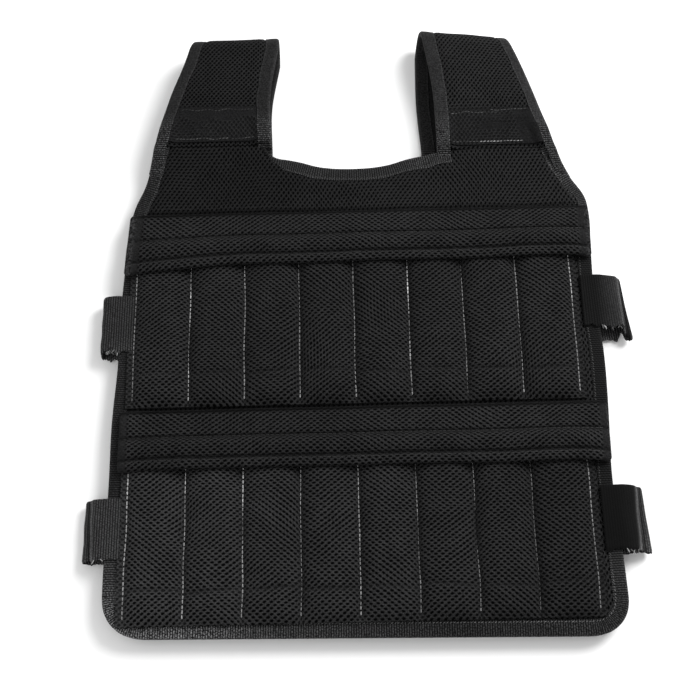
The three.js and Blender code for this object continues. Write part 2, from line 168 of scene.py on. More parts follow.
def plus(tree, first, second):
    return maths(tree, "ADD", first, second)


def minus(tree, first, second):
    return maths(tree, "SUBTRACT", first, second)


def vectors(tree, operation, first, second=(0.0, 0.0, 0.0)):
    made = node(tree, "ShaderNodeVectorMath", {0: first, 1: second}, operation=operation)
    return made.outputs["Value" if operation == "LENGTH" else "Vector"]


def joined(tree, x, y, z=0.0):
    return node(tree, "ShaderNodeCombineXYZ", {"X": x, "Y": y, "Z": z}).outputs["Vector"]


def parted(tree, vector):
    return node(tree, "ShaderNodeSeparateXYZ", {"Vector": vector}).outputs


def remap(tree, value, low, high, outLow=0.0, outHigh=1.0):
    places = {"Value": value, "From Min": low, "From Max": high, "To Min": outLow, "To Max": outHigh}
    return node(tree, "ShaderNodeMapRange", places, interpolation_type="SMOOTHSTEP").outputs["Result"]


def noise(tree, place, scale, detail):
    return node(tree, "ShaderNodeTexNoise", {"Vector": place, "Scale": scale, "Detail": detail}).outputs


def shifted(tree, place, drift, amount):  # moved unevenly, by up to half the amount each way
    centred = vectors(tree, "SUBTRACT", drift["Color"], (0.5, 0.5, 0.5))
    shift = node(tree, "ShaderNodeVectorMath", {0: centred, "Scale": amount}, operation="SCALE")
    return vectors(tree, "ADD", place, shift.outputs["Vector"])


def newGroup(name, numbers, gives):  # each group takes a place and some numbers
    group = bpy.data.node_groups.new(name, "ShaderNodeTree")
    group.interface.new_socket("Place", in_out="INPUT", socket_type="NodeSocketVector")
    for label in numbers:
        group.interface.new_socket(label, in_out="INPUT", socket_type="NodeSocketFloat")
    for label in gives:
        group.interface.new_socket(label, in_out="OUTPUT", socket_type="NodeSocketFloat")
    start = group.nodes.new("NodeGroupInput")
    end = group.nodes.new("NodeGroupOutput")
    return group, start.outputs, end.inputs


# Air mesh: oval holes in a staggered lattice, between knitted yarns
lattice = {
    "driftScale": 55.0,  # small uneven shifts of the holes
    "slowScale": 14.0,  # long bends of their rows
    "unevenHoles": (0.95, 1.08),
    "yarnScale": 1500.0,
    "yarnReach": 0.35,  # how far the yarns' hairs come over the holes
    "holeEdge": (0.9, 1.75),
    "yarnEdge": (0.55, 1.75),
    "fuzz": 0.3,
}


def makeWeave():
    numbers = ("Across", "Along", "Hole Across", "Hole Along", "Uneven", "Bend", "Turn", "Swing")
    group, given, out = newGroup("airMesh", numbers, ("Hole", "Height"))
    drift = noise(group, given["Place"], lattice["driftScale"], 1.0)
    slow = noise(group, given["Place"], lattice["slowScale"], 0.0)
    moved = shifted(group, given["Place"], drift, given["Uneven"])
    moved = shifted(group, moved, slow, given["Bend"])
    place = parted(group, moved)
    cell = joined(group, maths(group, "DIVIDE", place["X"], given["Across"]),
                  maths(group, "DIVIDE", place["Y"], given["Along"]))
    cellSize = joined(group, given["Across"], given["Along"])
    holeSize = joined(group, given["Hole Across"], given["Hole Along"], 1.0)
    swing = times(group, minus(group, slow["Fac"], 0.5), given["Swing"])
    turn = plus(group, plus(group, given["Turn"], swing), minus(group, drift["Fac"], 0.5))
    reaches = []
    for offset in ((0.0, 0.0, 0.0), (0.5, 0.5, 0.0)):
        inCell = vectors(group, "FRACTION", vectors(group, "ADD", cell, offset))
        fromHole = vectors(group, "SUBTRACT", inCell, (0.5, 0.5, 0.0))
        fromHole = vectors(group, "MULTIPLY", fromHole, cellSize)
        turned = node(group, "ShaderNodeVectorRotate", {"Vector": fromHole, "Angle": turn},
                      rotation_type="Z_AXIS")
        scaled = vectors(group, "DIVIDE", turned.outputs["Vector"], holeSize)
        reaches.append(vectors(group, "LENGTH", scaled))
    uneven = remap(group, drift["Fac"], 0.3, 0.7, *lattice["unevenHoles"])
    reach = times(group, maths(group, "MINIMUM", *reaches), uneven)
    yarn = noise(group, moved, lattice["yarnScale"], 2.0)["Fac"]
    hairy = plus(group, reach, times(group, yarn, lattice["yarnReach"]))
    group.links.new(remap(group, hairy, *lattice["holeEdge"], 1.0, 0.0), out["Hole"])
    height = plus(group, remap(group, reach, *lattice["yarnEdge"]), times(group, yarn, lattice["fuzz"]))
    group.links.new(height, out["Height"])
    return group


# Ribs across tape and webbing, with a finer thread over and under them
ribs = {"driftScale": 220.0, "threadDepth": 0.5, "grooveEdge": (0.14, 0.72)}


def wave(tree, turns):
    return maths(tree, "ABSOLUTE", maths(tree, "SINE", times(tree, turns, math.pi)))


def makeRibs():
    group, given, out = newGroup("wovenRibs", ("Rib", "Thread", "Uneven"), ("Height", "Groove"))
    drift = noise(group, given["Place"], ribs["driftScale"], 2.0)
    place = parted(group, shifted(group, given["Place"], drift, given["Uneven"]))
    rib = maths(group, "DIVIDE", place["X"], given["Rib"])
    thread = maths(group, "DIVIDE", place["Y"], given["Thread"])
    turn = times(group, maths(group, "FLOOR", rib), 0.5)  # every other rib starts half a thread on
    threads = times(group, wave(group, plus(group, thread, turn)), ribs["threadDepth"])
    raised = times(group, wave(group, rib), plus(group, threads, 1.0 - ribs["threadDepth"]))
    group.links.new(raised, out["Height"])
    group.links.new(remap(group, raised, *ribs["grooveEdge"], 1.0, 0.0), out["Groove"])
    return group


# Slow changes of tone, handling marks and a little lint
def makeTone():
    group, given, out = newGroup("clothTone", ("Patches", "Strength", "Lint"), ("Tone",))
    wide = noise(group, given["Place"], given["Patches"], 3.0)["Fac"]
    swing = times(group, minus(group, wide, 0.5), given["Strength"])
    speck = noise(group, given["Place"], 900.0, 1.0)["Fac"]
    lint = times(group, remap(group, speck, 0.68, 0.8), given["Lint"])
    group.links.new(plus(group, plus(group, swing, 1.0), lint), out["Tone"])
    return group


airMesh = makeWeave()
wovenRibs = makeRibs()
clothTone = makeTone()


def toned(tree, colour, tone):
    return vectors(tree, "MULTIPLY", colour, joined(tree, tone, tone, tone))


def bumped(tree, shader, height, distance):
    made = node(tree, "ShaderNodeBump", {"Height": height, "Distance": distance, "Strength": 1.0})
    tree.links.new(made.outputs["Normal"], shader.inputs["Normal"])


def mixed(tree, share, first, second):  # inputs 6 and 7 and output 2 are the Mix node's colours
    return node(tree, "ShaderNodeMix", {0: share, 6: first, 7: second}, data_type="RGBA").outputs[2]


def marked(tree, label):
    return node(tree, "ShaderNodeAttribute", attribute_name=label).outputs["Fac"]


def specked(tree, place, grain):  # light and dark specks where the attribute "worn" is above 0
    speck = noise(tree, place, grain, 3.0)["Fac"]
    change = minus(tree, remap(tree, speck, 0.36, 0.66, 0.15, 3.4), 1.0)
    return plus(tree, times(tree, change, marked(tree, "worn")), 1.0)


def clothTones(tree, place, look):
    given = {"Place": place, "Patches": look["patches"], "Strength": look["strength"], "Lint": look["lint"]}
    tone = node(tree, "ShaderNodeGroup", given, node_tree=clothTone).outputs["Tone"]
    tone = times(tree, tone, specked(tree, place, look["grain"]))
    # darker where the attribute "dark" is above 0 and lighter below it; on the pads, flaps and webbing loops
    # it holds painted shade and painted highlight
    return times(tree, tone, minus(tree, 1.0, marked(tree, "dark")))


def clothPlaces(tree):  # on the flat cloth, and in the object
    cloth = node(tree, "ShaderNodeUVMap", uv_map="cloth").outputs["UV"]
    return cloth, node(tree, "ShaderNodeTexCoord").outputs["Object"]


meshCloth = {
    "yarn": (0.0226, 0.0226, 0.0230),
    "pressed": (0.0126, 0.0126, 0.0129),  # where the weave is pressed smooth
    "hole": (0.0003, 0.0003, 0.0004, 1.0),
    "relief": 0.0011,
    "uneven": 0.0016,
    "bend": 0.0045,
    "patches": 11.0,
    "strength": 0.5,
    "lint": 0.35,
    "grain": 520.0,
    "surface": {"Roughness": 0.85, "Specular IOR Level": 0.02, "Sheen Weight": 0.008, "Sheen Roughness": 0.5},
}
meshLooks = {  # spacing and size of the holes in metres, turn and swing in degrees, brightness
    "pocket_mesh": (0.0060, 0.0049, 0.00142, 0.00084, 2, 170, 0.98),
    "flap_mesh": (0.0060, 0.0049, 0.00142, 0.00086, 8, 150, 0.8),
    "chest_mesh": (0.0044, 0.0066, 0.00128, 0.00074, 66, 130, 0.59),
    "strap_mesh_left": (0.0044, 0.0048, 0.00104, 0.00076, 50, 100, 0.70),
    "strap_mesh_right": (0.0042, 0.0058, 0.00116, 0.00068, 52, 90, 0.67),
    "patch_cloth": (0.0043, 0.0058, 0.00132, 0.00085, 46, 200, 0.68),
}


def meshMaterial(name, across, along, holeAcross, holeAlong, turn, swing, brightness):
    made, tree, shader = newMaterial(name, meshCloth["surface"])
    cloth, place = clothPlaces(tree)
    given = {"Place": cloth, "Across": across, "Along": along,
             "Hole Across": holeAcross, "Hole Along": holeAlong,
             "Turn": -math.radians(turn), "Swing": math.radians(swing),
             "Uneven": meshCloth["uneven"], "Bend": meshCloth["bend"]}
    mesh = node(tree, "ShaderNodeGroup", given, node_tree=airMesh).outputs
    plain = marked(tree, "plain")
    seen = minus(tree, 1.0, plain)
    yarn = tuple(channel * brightness for channel in meshCloth["yarn"]) + (1.0,)
    pressed = tuple(channel * brightness for channel in meshCloth["pressed"]) + (1.0,)
    hole = times(tree, mesh["Hole"], seen)
    colour = mixed(tree, hole, mixed(tree, plain, yarn, pressed), meshCloth["hole"])
    fibre = remap(tree, noise(tree, place, 950.0, 2.0)["Fac"], 0.3, 0.7, 0.62, 1.45)
    tone = times(tree, clothTones(tree, place, meshCloth), fibre)
    tree.links.new(toned(tree, colour, tone), shader.inputs["Base Color"])
    relief = times(tree, mesh["Height"], plus(tree, times(tree, seen, 0.8), 0.2))
    bumped(tree, shader, relief, meshCloth["relief"])
    return made


ribbedCloth = {
    "uneven": 0.0006,
    "patches": 20.0,
    "strength": 0.7,
    "lint": 0.6,
    "grain": 760.0,
    "surface": {"Roughness": 0.75, "Specular IOR Level": 0.06, "Sheen Weight": 0.02, "Sheen Roughness": 0.5},
}
ribbedLooks = {  # sizes in metres; fold is the line along which the tape is folded
    "binding_tape": {"colour": (0.0325, 0.0325, 0.033, 1.0), "groove": (0.0014, 0.0014, 0.0015, 1.0),
                     "rib": 0.0021, "thread": 0.0027, "relief": 0.0007, "fold": 0.0145},
    "side_webbing": {"colour": (0.038, 0.038, 0.0385, 1.0), "groove": (0.0035, 0.0035, 0.0037, 1.0),
                     "rib": 0.0022, "thread": 0.0023, "relief": 0.0006, "fold": None},
}


def ribbedMaterial(name, look):
    made, tree, shader = newMaterial(name, ribbedCloth["surface"])
    cloth, place = clothPlaces(tree)
    given = {"Place": cloth, "Rib": look["rib"], "Thread": look["thread"], "Uneven": ribbedCloth["uneven"]}
    weave = node(tree, "ShaderNodeGroup", given, node_tree=wovenRibs).outputs
    tone = clothTones(tree, place, ribbedCloth)
    ribbed = minus(tree, 1.0, marked(tree, "plain"))
    colour = mixed(tree, times(tree, weave["Groove"], ribbed), look["colour"], look["groove"])
    fold = look["fold"]
    if fold:  # worn lighter along the cut edges and beside the fold
        away = maths(tree, "ABSOLUTE", minus(tree, parted(tree, cloth)["Y"], fold))
        rubbed = times(tree, remap(tree, away, fold - 0.0018, fold - 0.0006), 0.55)
        worn = times(tree, remap(tree, away, 0.0022, 0.0048, 1.0, 0.0), 0.4)
        tone = times(tree, tone, plus(tree, plus(tree, rubbed, worn), 0.8))
    tree.links.new(toned(tree, colour, tone), shader.inputs["Base Color"])
    bumped(tree, shader, times(tree, weave["Height"], ribbed), look["relief"])
    return made


# Sewing thread: each stitch has its own brightness in the attribute "shade"
sewingThread = {"Roughness": 0.6, "Specular IOR Level": 0.3, "Sheen Weight": 0.1, "Sheen Roughness": 0.5}


def threadMaterial():
    made, tree, shader = newMaterial("sewing_thread", sewingThread)
    place = node(tree, "ShaderNodeTexCoord").outputs["Object"]
    twist = noise(tree, place, 1800.0, 1.0)["Fac"]
    level = times(tree, marked(tree, "shade"), remap(tree, twist, 0.3, 0.7, 0.75, 1.15))
    tree.links.new(joined(tree, level, level, level), shader.inputs["Base Color"])
    return made


cloths = {name: meshMaterial(name, *look) for name, look in meshLooks.items()}
cloths |= {name: ribbedMaterial(name, look) for name, look in ribbedLooks.items()}
threadCloth = threadMaterial()
print("materials ready")

# Pattern of the vest: driving sizes
vest = {
    "width": 440.0,
    "length": 602.0,
    "hemRadiusLeft": 34.0,
    "hemRadiusRight": 30.0,
    "hemRise": 6.0,
    "backInset": 2.0,
    "padHalf": 2.9,
    "rimHalf": 1.2,
    "jointStep": 2.7,  # strap above the front panel
    "chestMiddle": 14.7,
    "foldHeight": 38.0,
    "liftStart": 413.0,  # the front rises from here to the folds
    "strapEnd": {-1: 480.0, 1: 471.0},  # where the straps' sewn front ends lie, left and right
    "cover": 12.0,  # taped edges of the front run on under the straps by this much
    "patchLow": {-1: 483.5, 1: 474.0},
    "patchHigh": {-1: 518.5, 1: 510.5},
    "lapLift": 2.8,  # extra height of a strap over the tape that it covers
    "backJoint": 482.0,
    "neckY": 454.0,
    "neckRise": 20.0,
    "neckLeft": 82.0,
    "neckRight": 84.0,
    "neckEnd": (94.0, 470.8),  # right end of the front's neck edge, under the strap
    "strapMiddle": 117.0,
    "gap": 0.3,
}
vest["foldRadius"] = vest["foldHeight"] / 2 - vest["padHalf"]
vest["foldY"] = vest["length"] - vest["foldRadius"] - vest["padHalf"]
vest["chestTop"] = vest["chestMiddle"] + vest["padHalf"]

sideRows = {
    "up": (0, 0.1, 0.24, 0.33, 0.42, 0.53, 0.61, 0.665, 0.7, 0.727, 0.757, 0.815, 0.88, 0.945, 1.0),
    "left": (1.0, 1.002, 0.997, 0.997, 0.984, 0.98, 0.968, 0.957, 0.935, 0.902, 0.881, 0.848, 0.798,
             0.735, 0.697),
    "right": (1.02, 1.013, 1.0, 1.012, 1.018, 1.002, 1.008, 1.014, 1.0, 0.953, 0.911, 0.862, 0.808,
              0.752, 0.702),
}
neckRows = {"across": (0.0, 0.22, 0.42, 0.6, 0.75, 0.9, 1.0), "up": (0.0, 0.04, 0.17, 0.4, 0.54, 0.68, 1.0)}
strapRows = {
    "along": (0.0, 0.5, 1.0),
    "leftFront": (0.35, 0.352, 0.314),
    "leftBack": (0.35, 0.352, 0.316),
    "rightFront": (0.372, 0.364, 0.33),
    "rightBack": (0.309, 0.296, 0.3),
}
foldSlant = {-1: 0.02, 1: -0.13}
sideWord = {-1: "left", 1: "right"}


def smooth(low, high, value):
    share = np.clip((value - low) / (high - low), 0.0, 1.0)
    return share * share * (3.0 - 2.0 * share)


def between(low, high, share):
    return low + (high - low) * share


def peak(away, width):  # 1 where away is 0, falling off smoothly over the width
    return np.exp(-(away / width) ** 2)


def unit(arrows):
    return arrows / np.linalg.norm(arrows, axis=-1, keepdims=True)


def leftOf(arrows):
    return np.stack([-arrows[..., 1], arrows[..., 0]], axis=-1)


def grid(*parts):  # coordinates from arrays, rows, columns or single numbers
    return np.stack(np.broadcast_arrays(*parts), axis=-1)


def alongRows(table, key, column, at):  # smooth curve through the rows of a table
    xs = np.array(table[key], float)
    ys = np.array(table[column], float)
    slopes = np.gradient(ys, xs)
    at = np.clip(at, xs[0], xs[-1])
    i = np.clip(np.searchsorted(xs, at, side="right") - 1, 0, len(xs) - 2)
    step = xs[i + 1] - xs[i]
    t = (at - xs[i]) / step
    left = (1 + 2 * t) * (1 - t) ** 2 * ys[i] + t * (1 - t) ** 2 * step * slopes[i]
    right = t * t * (3 - 2 * t) * ys[i + 1] + t * t * (t - 1) * step * slopes[i + 1]
    return left + right


def ripple(x, y, size, seed):  # soft uneven waves, mostly between -1 and 1, about size apart
    draw = np.random.default_rng(seed)
    total = 0.0
    for _ in range(7):
        turn = draw.uniform(0, 2 * math.pi)
        wave = 2 * math.pi / (size * draw.uniform(0.7, 1.6))
        start = draw.uniform(0, 2 * math.pi)
        total = total + np.sin((x * math.cos(turn) + y * math.sin(turn)) * wave + start)
    return total / 3.5


def sideX(side, y):
    return side * alongRows(sideRows, "up", sideWord[side], y / vest["length"]) * vest["width"] / 2


def frontMiddle(y):
    top = vest["foldHeight"] - vest["padHalf"] - vest["jointStep"]
    return between(vest["chestMiddle"], top, smooth(vest["liftStart"], vest["foldY"], y))


def backMiddle(y):
    return vest["padHalf"] + 0.0 * y


def bySide(table, x):
    return np.where(np.asarray(x) < 0, table[-1], table[1])


def strapHeight(side, y):  # middle of a strap's front run, raised where it lies on the taped edges
    end = vest["strapEnd"][side]
    lap = vest["lapLift"] * (1 - smooth(end + 14, end + 42, y))
    return frontMiddle(y) + vest["jointStep"] + lap


def lengthAlong(path):
    return np.concatenate([[0.0], np.cumsum(np.linalg.norm(np.diff(path, axis=0), axis=1))])


def pointsAt(path, lengths, at):
    return np.stack([np.interp(at, lengths, column) for column in path.T], axis=1)


def resample(path, step):
    lengths = lengthAlong(path)
    at = np.linspace(0.0, lengths[-1], max(int(lengths[-1] / step), 2) + 1)
    return pointsAt(path, lengths, at), at


def soften(path, times):
    path = path.copy()
    for _ in range(times):
        path[1:-1] = 0.25 * path[:-2] + 0.5 * path[1:-1] + 0.25 * path[2:]
    return path


def inset(path, distance):  # moved to the left of the direction of travel
    return path + distance * leftOf(unit(np.gradient(path, axis=0)))


def arcPoints(centreX, centreY, radius, start, end):
    angles = np.radians(np.linspace(start, end, 24))
    return grid(centreX + radius * np.cos(angles), centreY + radius * np.sin(angles))


def edgePath(tops):  # from the left shoulder down, along the hem and up to the right shoulder
    leftBottom = vest["hemRise"] + vest["hemRadiusLeft"]
    rightBottom = vest["hemRadiusRight"]
    leftY = np.linspace(tops[-1], leftBottom, 90)
    rightY = np.linspace(rightBottom, tops[1], 90)
    left = grid(sideX(-1, leftY), leftY)
    right = grid(sideX(1, rightY), rightY)
    leftCorner = arcPoints(sideX(-1, leftBottom) + vest["hemRadiusLeft"], leftBottom,
                           vest["hemRadiusLeft"], 180, 270)
    rightCorner = arcPoints(sideX(1, rightBottom) - vest["hemRadiusRight"], rightBottom,
                            vest["hemRadiusRight"], 270, 360)
    path = np.concatenate([left, leftCorner[1:], rightCorner, right[1:]])
    return soften(resample(path, 2.5)[0], 6)


def neckPath(left, right, rightEnd, leftTop):  # from its left top down and up to its right end
    share = np.linspace(1.0, 0.0, 60)
    height = vest["neckY"] + vest["neckRise"] * alongRows(neckRows, "across", "up", share)
    leftHalf = grid(-left * share, height)
    rightHalf = grid(right * share, height)[::-1]
    if rightEnd[0] > right:  # it runs on under the strap's end
        rightHalf = rightHalf[rightHalf[:, 0] < 0.9 * right]
    path = np.concatenate([[[-left, leftTop]], leftHalf, rightHalf[1:], [rightEnd]])
    return soften(resample(path, 2.0)[0], 2)


def strapInner(side, face, along):
    return alongRows(strapRows, "along", sideWord[side] + face, along) * vest["width"] / 2


frontTops = {side: vest["strapEnd"][side] + vest["cover"] for side in (-1, 1)}
backTops = {side: vest["backJoint"] - vest["gap"] for side in (-1, 1)}
frontEdge = edgePath(frontTops)
backEdge = inset(edgePath(backTops), vest["backInset"])
frontNeck = neckPath(vest["neckLeft"], vest["neckRight"], vest["neckEnd"], frontTops[-1])
backRight = float(strapInner(1, "Back", 0.0))
backNeck = neckPath(strapInner(-1, "Back", 0.0), backRight, (backRight, backTops[1]), backTops[-1])


# Meshes
def turnedOut(points, faces):
    a, b, c = (points[faces[:, k]] for k in (0, 1, 2))
    volume = np.einsum("ij,ij->i", a, np.cross(b, c)).sum()
    if faces.shape[1] == 4:
        d = points[faces[:, 3]]
        volume += np.einsum("ij,ij->i", a, np.cross(c, d)).sum()
    return faces if volume > 0 else faces[:, ::-1]


def addPiece(name, points, faces, uv, material, slot, **marks):
    points = toFrame(points)
    mesh = bpy.data.meshes.new(name)
    mesh.from_pydata(points.tolist(), [], turnedOut(points - points.mean(axis=0), faces).tolist())
    if uv is not None:
        corner = np.zeros(len(mesh.loops), int)
        mesh.loops.foreach_get("vertex_index", corner)
        layer = mesh.uv_layers.new(name="cloth")
        layer.data.foreach_set("uv", (uv[corner] * 0.001).ravel())
    for label, values in marks.items():
        layer = mesh.attributes.new(label, "FLOAT", "POINT")
        layer.data.foreach_set("value", np.asarray(values, np.float32).ravel())
    mesh.polygons.foreach_set("use_smooth", np.ones(len(mesh.polygons), bool))
    mesh.set_sharp_from_angle(angle=math.radians(55))
    mesh.materials.append(material)
    piece = newObject(name, mesh)
    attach(piece, "root")
    return piece


def addSheet(name, over, under, uv, material, slot, plain=0.0, plainUnder=None, **marks):
    rows, columns = over.shape[:2]
    size = rows * columns
    index = np.arange(size).reshape(rows, columns)
    top = np.stack([index[:-1, :-1], index[1:, :-1], index[1:, 1:], index[:-1, 1:]], axis=-1).reshape(-1, 4)
    rim = np.concatenate([index[0, :], index[1:, -1], index[-1, -2::-1], index[-2:0:-1, 0]])
    after = np.roll(rim, -1)
    wall = np.stack([rim, after, after + size, rim + size], axis=1)
    faces = np.concatenate([top, top[:, ::-1] + size, wall])
    points = np.concatenate([over.reshape(-1, 3), under.reshape(-1, 3)])
    places = np.concatenate([uv.reshape(-1, 2)] * 2)
    zeros = np.zeros((rows, columns))
    above = plain + zeros
    below = above if plainUnder is None else plainUnder + zeros
    smoothness = np.clip(np.concatenate([above.ravel(), below.ravel()]), 0, 1)
    both = {label: np.tile((values + zeros).ravel(), 2) for label, values in marks.items()}
    return addPiece(name, points, faces, places, material, slot, plain=smoothness, **both)


def distanceTo(points, line):
    start = line[:-1]
    span = line[1:] - start
    size = (span ** 2).sum(axis=1)
    nearest = np.full(len(points), 1e9)
    for i in range(len(start)):
        away = points - start[i]
        share = np.clip(away @ span[i] / size[i], 0.0, 1.0)
        nearest = np.minimum(nearest, np.linalg.norm(away - share[:, None] * span[i], axis=1))
    return nearest


# Padded panels
panel = {
    "rimStart": 2.2,  # the pad's rim ends this far inside the tape
    "tongueInset": 13.6,
    "rings": (7.0, 11.5, 13.2, 14.6, 16.4, 18.8, 22.0),
    "spacing": 4.0,
    "bulge": 6.0,  # the pad comes up to its full height over this distance from the tape
    # painted shadow lines on the chest just above each flap's sewn top edge: where they lie up the pad, how
    # dark and how wide
    "shadowLines": ({"up": 210.5, "dark": 0.5, "width": 2.0}, {"up": 410.0, "dark": 0.55, "width": 1.8}),
}


def padHalfAt(distance, pressed, width=13.0):
    out = np.clip((distance - width + 0.4) / panel["bulge"], 0.0, 1.0)
    half = between(vest["rimHalf"], vest["padHalf"], np.sin(out * math.pi / 2))
    return between(half, vest["rimHalf"], pressed)


narrowRows = {  # the tape is rolled further over the edge on the right shoulder's slope
    "up": (370.0, 395.0, 415.0, 440.0, 462.0),
    "share": (1.0, 0.66, 0.6, 0.78, 1.0),
}


def tapeShare(x, y):  # visible width of a front tape, as a share
    inRange = (y > narrowRows["up"][0]) & (y < narrowRows["up"][-1]) & (x > 150)
    share = np.where(inRange, alongRows(narrowRows, "up", "share", y), 1.0)
    corner = (x < -50) & (x > -100) & (y > 440)  # rolled under at the neck's left corner
    return np.where(corner, 0.12 + 0.88 * smooth(-80, -54, x), share)


def panelOutline(edge, neck, tongue):
    edge = inset(edge, panel["rimStart"])
    neck = inset(neck, -panel["rimStart"])
    parts = [edge]
    for side in (1, -1):
        if tongue:
            steps = np.linspace(frontTops[side], vest["patchHigh"][side] - 1.0, 9)
            outer = grid(sideX(side, steps) - side * panel["tongueInset"], steps)
            inner = grid(side * (strapInner(side, "Front", 0.0) + panel["tongueInset"]), steps)
            parts.append(outer if side > 0 else inner)
            parts.append(inner[::-1] if side > 0 else outer[::-1])
        if side > 0:
            parts.append(neck[::-1])
    return np.concatenate(parts)


def makePanel(name, cadNode, edge, neck, height, tongue):
    def fromTape(points):
        return np.minimum(distanceTo(points, edge), distanceTo(points, neck))

    outline = panelOutline(edge, neck, tongue)
    line = np.concatenate([outline, outline[:1]])
    outline = resample(line, 3.0)[0][:-1]
    rings = [inset(edge, d)[2:-2] for d in panel["rings"]] + [inset(neck, -d)[2:-2] for d in panel["rings"]]
    kept = []
    for ring, size in zip(rings, panel["rings"] * 2):
        ring = resample(ring, 4.0)[0]
        kept.append(ring[fromTape(ring) > size - 0.2])
    spots = grid(*np.meshgrid(np.arange(-228, 230, panel["spacing"]), np.arange(2, 528, panel["spacing"])))
    spots = spots.reshape(-1, 2)
    above = spots[:, 1] > bySide(frontTops, spots[:, 0])
    kept.append(spots[(fromTape(spots) > panel["rings"][-1] + 2) | above])
    inner = np.concatenate(kept)
    inner = inner[distanceTo(inner, line) > 1.2]
    points = np.concatenate([outline, inner])
    flat = [Vector(p) for p in points.tolist()]
    made = delaunay_2d_cdt(flat, [], [list(range(len(outline)))], 1, 1e-6)
    flat = np.array([tuple(p) for p in made[0]])
    faces = np.array([tuple(f) for f in made[2]])
    used, faces = np.unique(faces, return_inverse=True)
    flat, faces = flat[used], faces.reshape(-1, 3)
    near = fromTape(flat)
    x, y = flat.T
    end = bySide(vest["strapEnd"], x) if tongue else vest["backJoint"] - 5
    width = 13 * tapeShare(x, y) if tongue else 13.0
    half = padHalfAt(near, smooth(end - 1.5, end + 1.5, y), width)
    middle = height(y)
    sink = 0.35 * (1 + ripple(x, y, 70, 3)) * smooth(14, 30, near)  # hand-sewn pads are never quite flat
    over = grid(x, y, middle + half - np.clip(sink, 0, 0.9))
    under = grid(x, y, middle - half)
    edges = np.concatenate([faces[:, [0, 1]], faces[:, [1, 2]], faces[:, [2, 0]]])
    edges = dict.fromkeys(map(tuple, edges.tolist()))
    rim = [(a, b) for a, b in edges if (b, a) not in edges]
    count = len(flat)
    walls = [(b, a, a + count) for a, b in rim] + [(b, a + count, b + count) for a, b in rim]
    faces = np.concatenate([faces, faces[:, ::-1] + count, np.array(walls)])
    uv = np.concatenate([flat, flat])
    # darker towards the left and a little lighter at the far right, plus the painted shadow lines just above
    # the flaps
    shade = 0.22 * smooth(60, -100, x) - 0.06 * smooth(60, 140, x)
    for row in panel["shadowLines"]:
        shade = shade + row["dark"] * peak(y - row["up"], row["width"])
    piece = addPiece(name, np.concatenate([over, under]), faces, uv, cloths["chest_mesh"], "spacer_mesh",
                     dark=np.tile(shade, 2))
    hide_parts(cadNode)
    return piece


makePanel("back_pad", "back_panel", backEdge, backNeck, backMiddle, False)
makePanel("front_pad", "front_panel", frontEdge, frontNeck, frontMiddle, True)
print("panels made")

# Binding tape: folded over an edge, its profile given as distance in from the edge and height
tape = {
    "half": 2.6,
    "thickness": 1.0,
    "legInto": (13.0, 12.5, 11.6, 10.8, 9.0, 6.0, 4.0),
    "legUp": (0.86, 0.94, 0.9, 0.91, 1.0, 1.02, 1.01),  # shares of the half height, less at the stitches
    "turnSteps": 9,
    "wobble": 0.45,
}


def tapeProfile(half):
    into = np.array(tape["legInto"])
    up = half * np.array(tape["legUp"])
    angles = np.linspace(-math.pi / 2, math.pi / 2, tape["turnSteps"])
    turnInto = tape["half"] - half * np.cos(angles)
    turnUp = half * np.sin(angles)
    return np.concatenate([into, turnInto, into[::-1]]), np.concatenate([-up, turnUp, up[::-1]])


def makeTape(name, cadNode, place, along, seed, width=1.0, plain=0.0, worn=0.0, dark=0.0):
    grids = []
    for half in (tape["half"], tape["half"] - tape["thickness"]):
        into, up = tapeProfile(half)
        into, up = into[None, :] + 0 * along[:, None], up[None, :]
        beyond = np.maximum(into - tape["half"], 0)
        into = into - beyond * (1 - width)
        wander = tape["wobble"] * ripple(along, 0.0, 23, seed)[:, None]
        loose = 0.12 * ripple(along, 0.0, 17, seed + 1)[:, None]
        reach = into + wander * (into / 13.0) ** 2
        grids.append(place(reach, up + loose * np.sign(up) * np.abs(up) / tape["half"]))
    over, under = grids
    around = lengthAlong(grid(*tapeProfile(tape["half"])))
    uv = grid(along[:, None], around[None, :])
    cloth = cloths["binding_tape"]
    piece = addSheet(name, over, under, uv, cloth, "binding_tape", plain, worn=worn, dark=dark)
    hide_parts(cadNode)
    return piece


tapeDark = {"left": 0.47, "right": 0.66, "neck": 0.2, "corner": 0.55}  # how much darker these stretches are
hemDark = {  # the same along the hem, from left to right
    "x": (-200, -145, -110, -73, 0, 36, 73, 200),
    "dark": (-0.9, -0.9, -0.4, 0.05, 0.21, 0.4, 0.5, 0.42),
}


def wornAt(y, start):  # the tapes are rubbed and specked towards the shoulder joints
    return 0.5 * smooth(start, start + 30, y)


